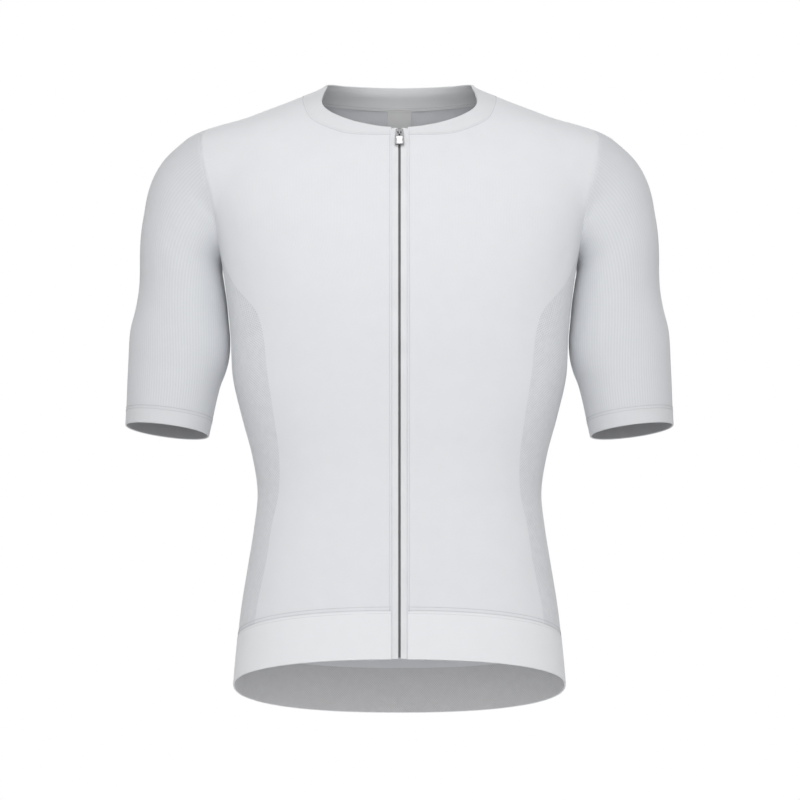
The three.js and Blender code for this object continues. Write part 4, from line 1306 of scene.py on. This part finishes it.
pull = Solid()
pull.add(*bar((-PULL_ROD["reach"], 0, 0), (PULL_ROD["reach"], 0, 0), PULL_ROD["radius"]))
for side in (-1, 1):
    arm = [(side * x, z) for x, z in PULL_ARM]
    pull.add(*slab(arm if side > 0 else arm[::-1], -PULL_HALF_THICK, PULL_HALF_THICK, ARM_BEVEL))
pull.add(*plate(*PULL_PLATE))
pull_obj = pull.object("zip_pull_frame", METAL, "pull_tab", in_pull_frame)
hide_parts("zip_pull")
outline = [(w, z) for z, w in INLAY[::-1]] + [(-w, z) for z, w in INLAY]
inlay = Solid()
inlay.add(*slab(outline, PULL_HALF_THICK - INLAY_SUNK, PULL_HALF_THICK + INLAY_RISE, INLAY_BEVEL))
inlay_obj = inlay.object("zip_pull_inlay", GLOSS, "pull_tab", in_pull_frame)

# The coil's turns, in the slot between the tapes, on their dark backing
COIL_TOP_Z = NECK[0][2] - 2
COIL_STEPS = 240
BACKING = {"half": 2.3, "near": -1.0, "far": -1.45}
TOOTH = {"pitch": 1.25, "half": 1.9, "lean": 0.25, "sunk": 0.75, "radius": 0.34, "sides": 6}
coil_z = np.linspace(zip_z[0] + 1.0, COIL_TOP_Z, COIL_STEPS + 1)
coil_line = centre_point(np.zeros(coil_z.shape), coil_z)
coil_out = outward(body_skin, coil_line)
coil = Solid()
profile = [(x, BACKING["near"]) for x in (-BACKING["half"], BACKING["half"])]
profile += [(x, BACKING["far"]) for x in (BACKING["half"], -BACKING["half"])]
rings = [[at + [x, 0, 0] + out * height for x, height in profile] for at, out in zip(coil_line, coil_out)]
coil.add(np.concatenate(rings), tube_faces(len(rings), len(profile)))
tooth_z = np.arange(coil_z[0] + 1, coil_z[-1] - 1, TOOTH["pitch"])
tooth_rows = zip(between(tooth_z, coil_z, coil_line), between(tooth_z, coil_z, coil_out))
for k, (at, out) in enumerate(tooth_rows):
    end = np.array([TOOTH["half"], 0, TOOTH["lean"] if k % 2 else -TOOTH["lean"]])
    middle = at - out * TOOTH["sunk"]
    coil.add(*bar(middle - end, middle + end, TOOTH["radius"], TOOTH["sides"]))
coil_obj = coil.object("zip_coil_turns", COIL, "root")
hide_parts("zip_coil")

# Floor, light and camera
FLOOR_Z = -1.25
FLOOR_REACH = 4.0
corners = [(x * FLOOR_REACH, y * FLOOR_REACH, FLOOR_Z) for x, y in ((-1, -1), (1, -1), (1, 1), (-1, 1))]
floor_mesh = bpy.data.meshes.new("floor")
floor_mesh.from_pydata(corners, [], [(0, 1, 2, 3)])
floor = placed("floor", floor_mesh)
floor.data.materials.append(new_material("floor_white", (0.93, 0.93, 0.935), 0.9)[0])


def area_light(name, place, size, power):
    data = bpy.data.lights.new(name, "AREA")
    data.shape = "RECTANGLE"
    data.size, data.size_y = size
    data.energy = power
    light = placed(name, data)
    light.location = place
    light.rotation_euler = (Vector(MIDDLE) - Vector(place)).to_track_quat("-Z", "Y").to_euler()


# Each light's name, place, width and height in metres, and watts. All face the jersey's middle.
MIDDLE = (0, 0, -0.3)
LIGHTS = (
    ("high_key", (0, -2.1, 2.0), (1.4, 1.4), 34),
    ("front_key", (0, -3.1, 0.2), (1.0, 1.0), 21),
    ("left_strip", (-2.4, 0.1, 0.1), (0.8, 1.6), 4),
    ("right_strip", (2.4, 0.1, 0.1), (0.8, 1.6), 4),
    ("back_light", (0, 2.9, 1.0), (1.6, 1.4), 22),
)
for light_row in LIGHTS:
    area_light(*light_row)

# A dim white room with a bright wall behind the jersey, from one share of the way back to another
ROOM_LIGHT = 0.36
WALL_LIGHT = 1.0
WALL_START = 0.90
WALL_FULL = 0.96
world = bpy.data.worlds.new("white_room")
bpy.context.scene.world = world
world.use_nodes = True
room = world.node_tree
background = room.nodes["Background"]
background.inputs["Color"].default_value = (1, 1, 1, 1)
direction = node(room, "ShaderNodeTexCoord")
parts = node(room, "ShaderNodeSeparateXYZ")
WALL_RANGE = {"From Min": WALL_START, "From Max": WALL_FULL, "To Min": ROOM_LIGHT, "To Max": WALL_LIGHT}
wall = node(room, "ShaderNodeMapRange", WALL_RANGE)
link(room, direction, "Generated", parts, "Vector")
link(room, parts, "Y", wall, "Value")
link(room, wall, "Result", background, "Strength")
bpy.context.scene.view_settings.view_transform = "Standard"

camera_data = bpy.data.cameras.new("camera")
camera_data.lens = CAMERA_LENS
camera_data.sensor_width = CAMERA_SENSOR
camera_data.clip_end = 100
camera = placed("camera", camera_data)
camera.location = (CAMERA_SIDE * MM, -CAMERA_DISTANCE * MM, CAMERA_HEIGHT * MM)
camera.rotation_euler = (math.pi / 2, 0, 0)
bpy.context.scene.camera = camera
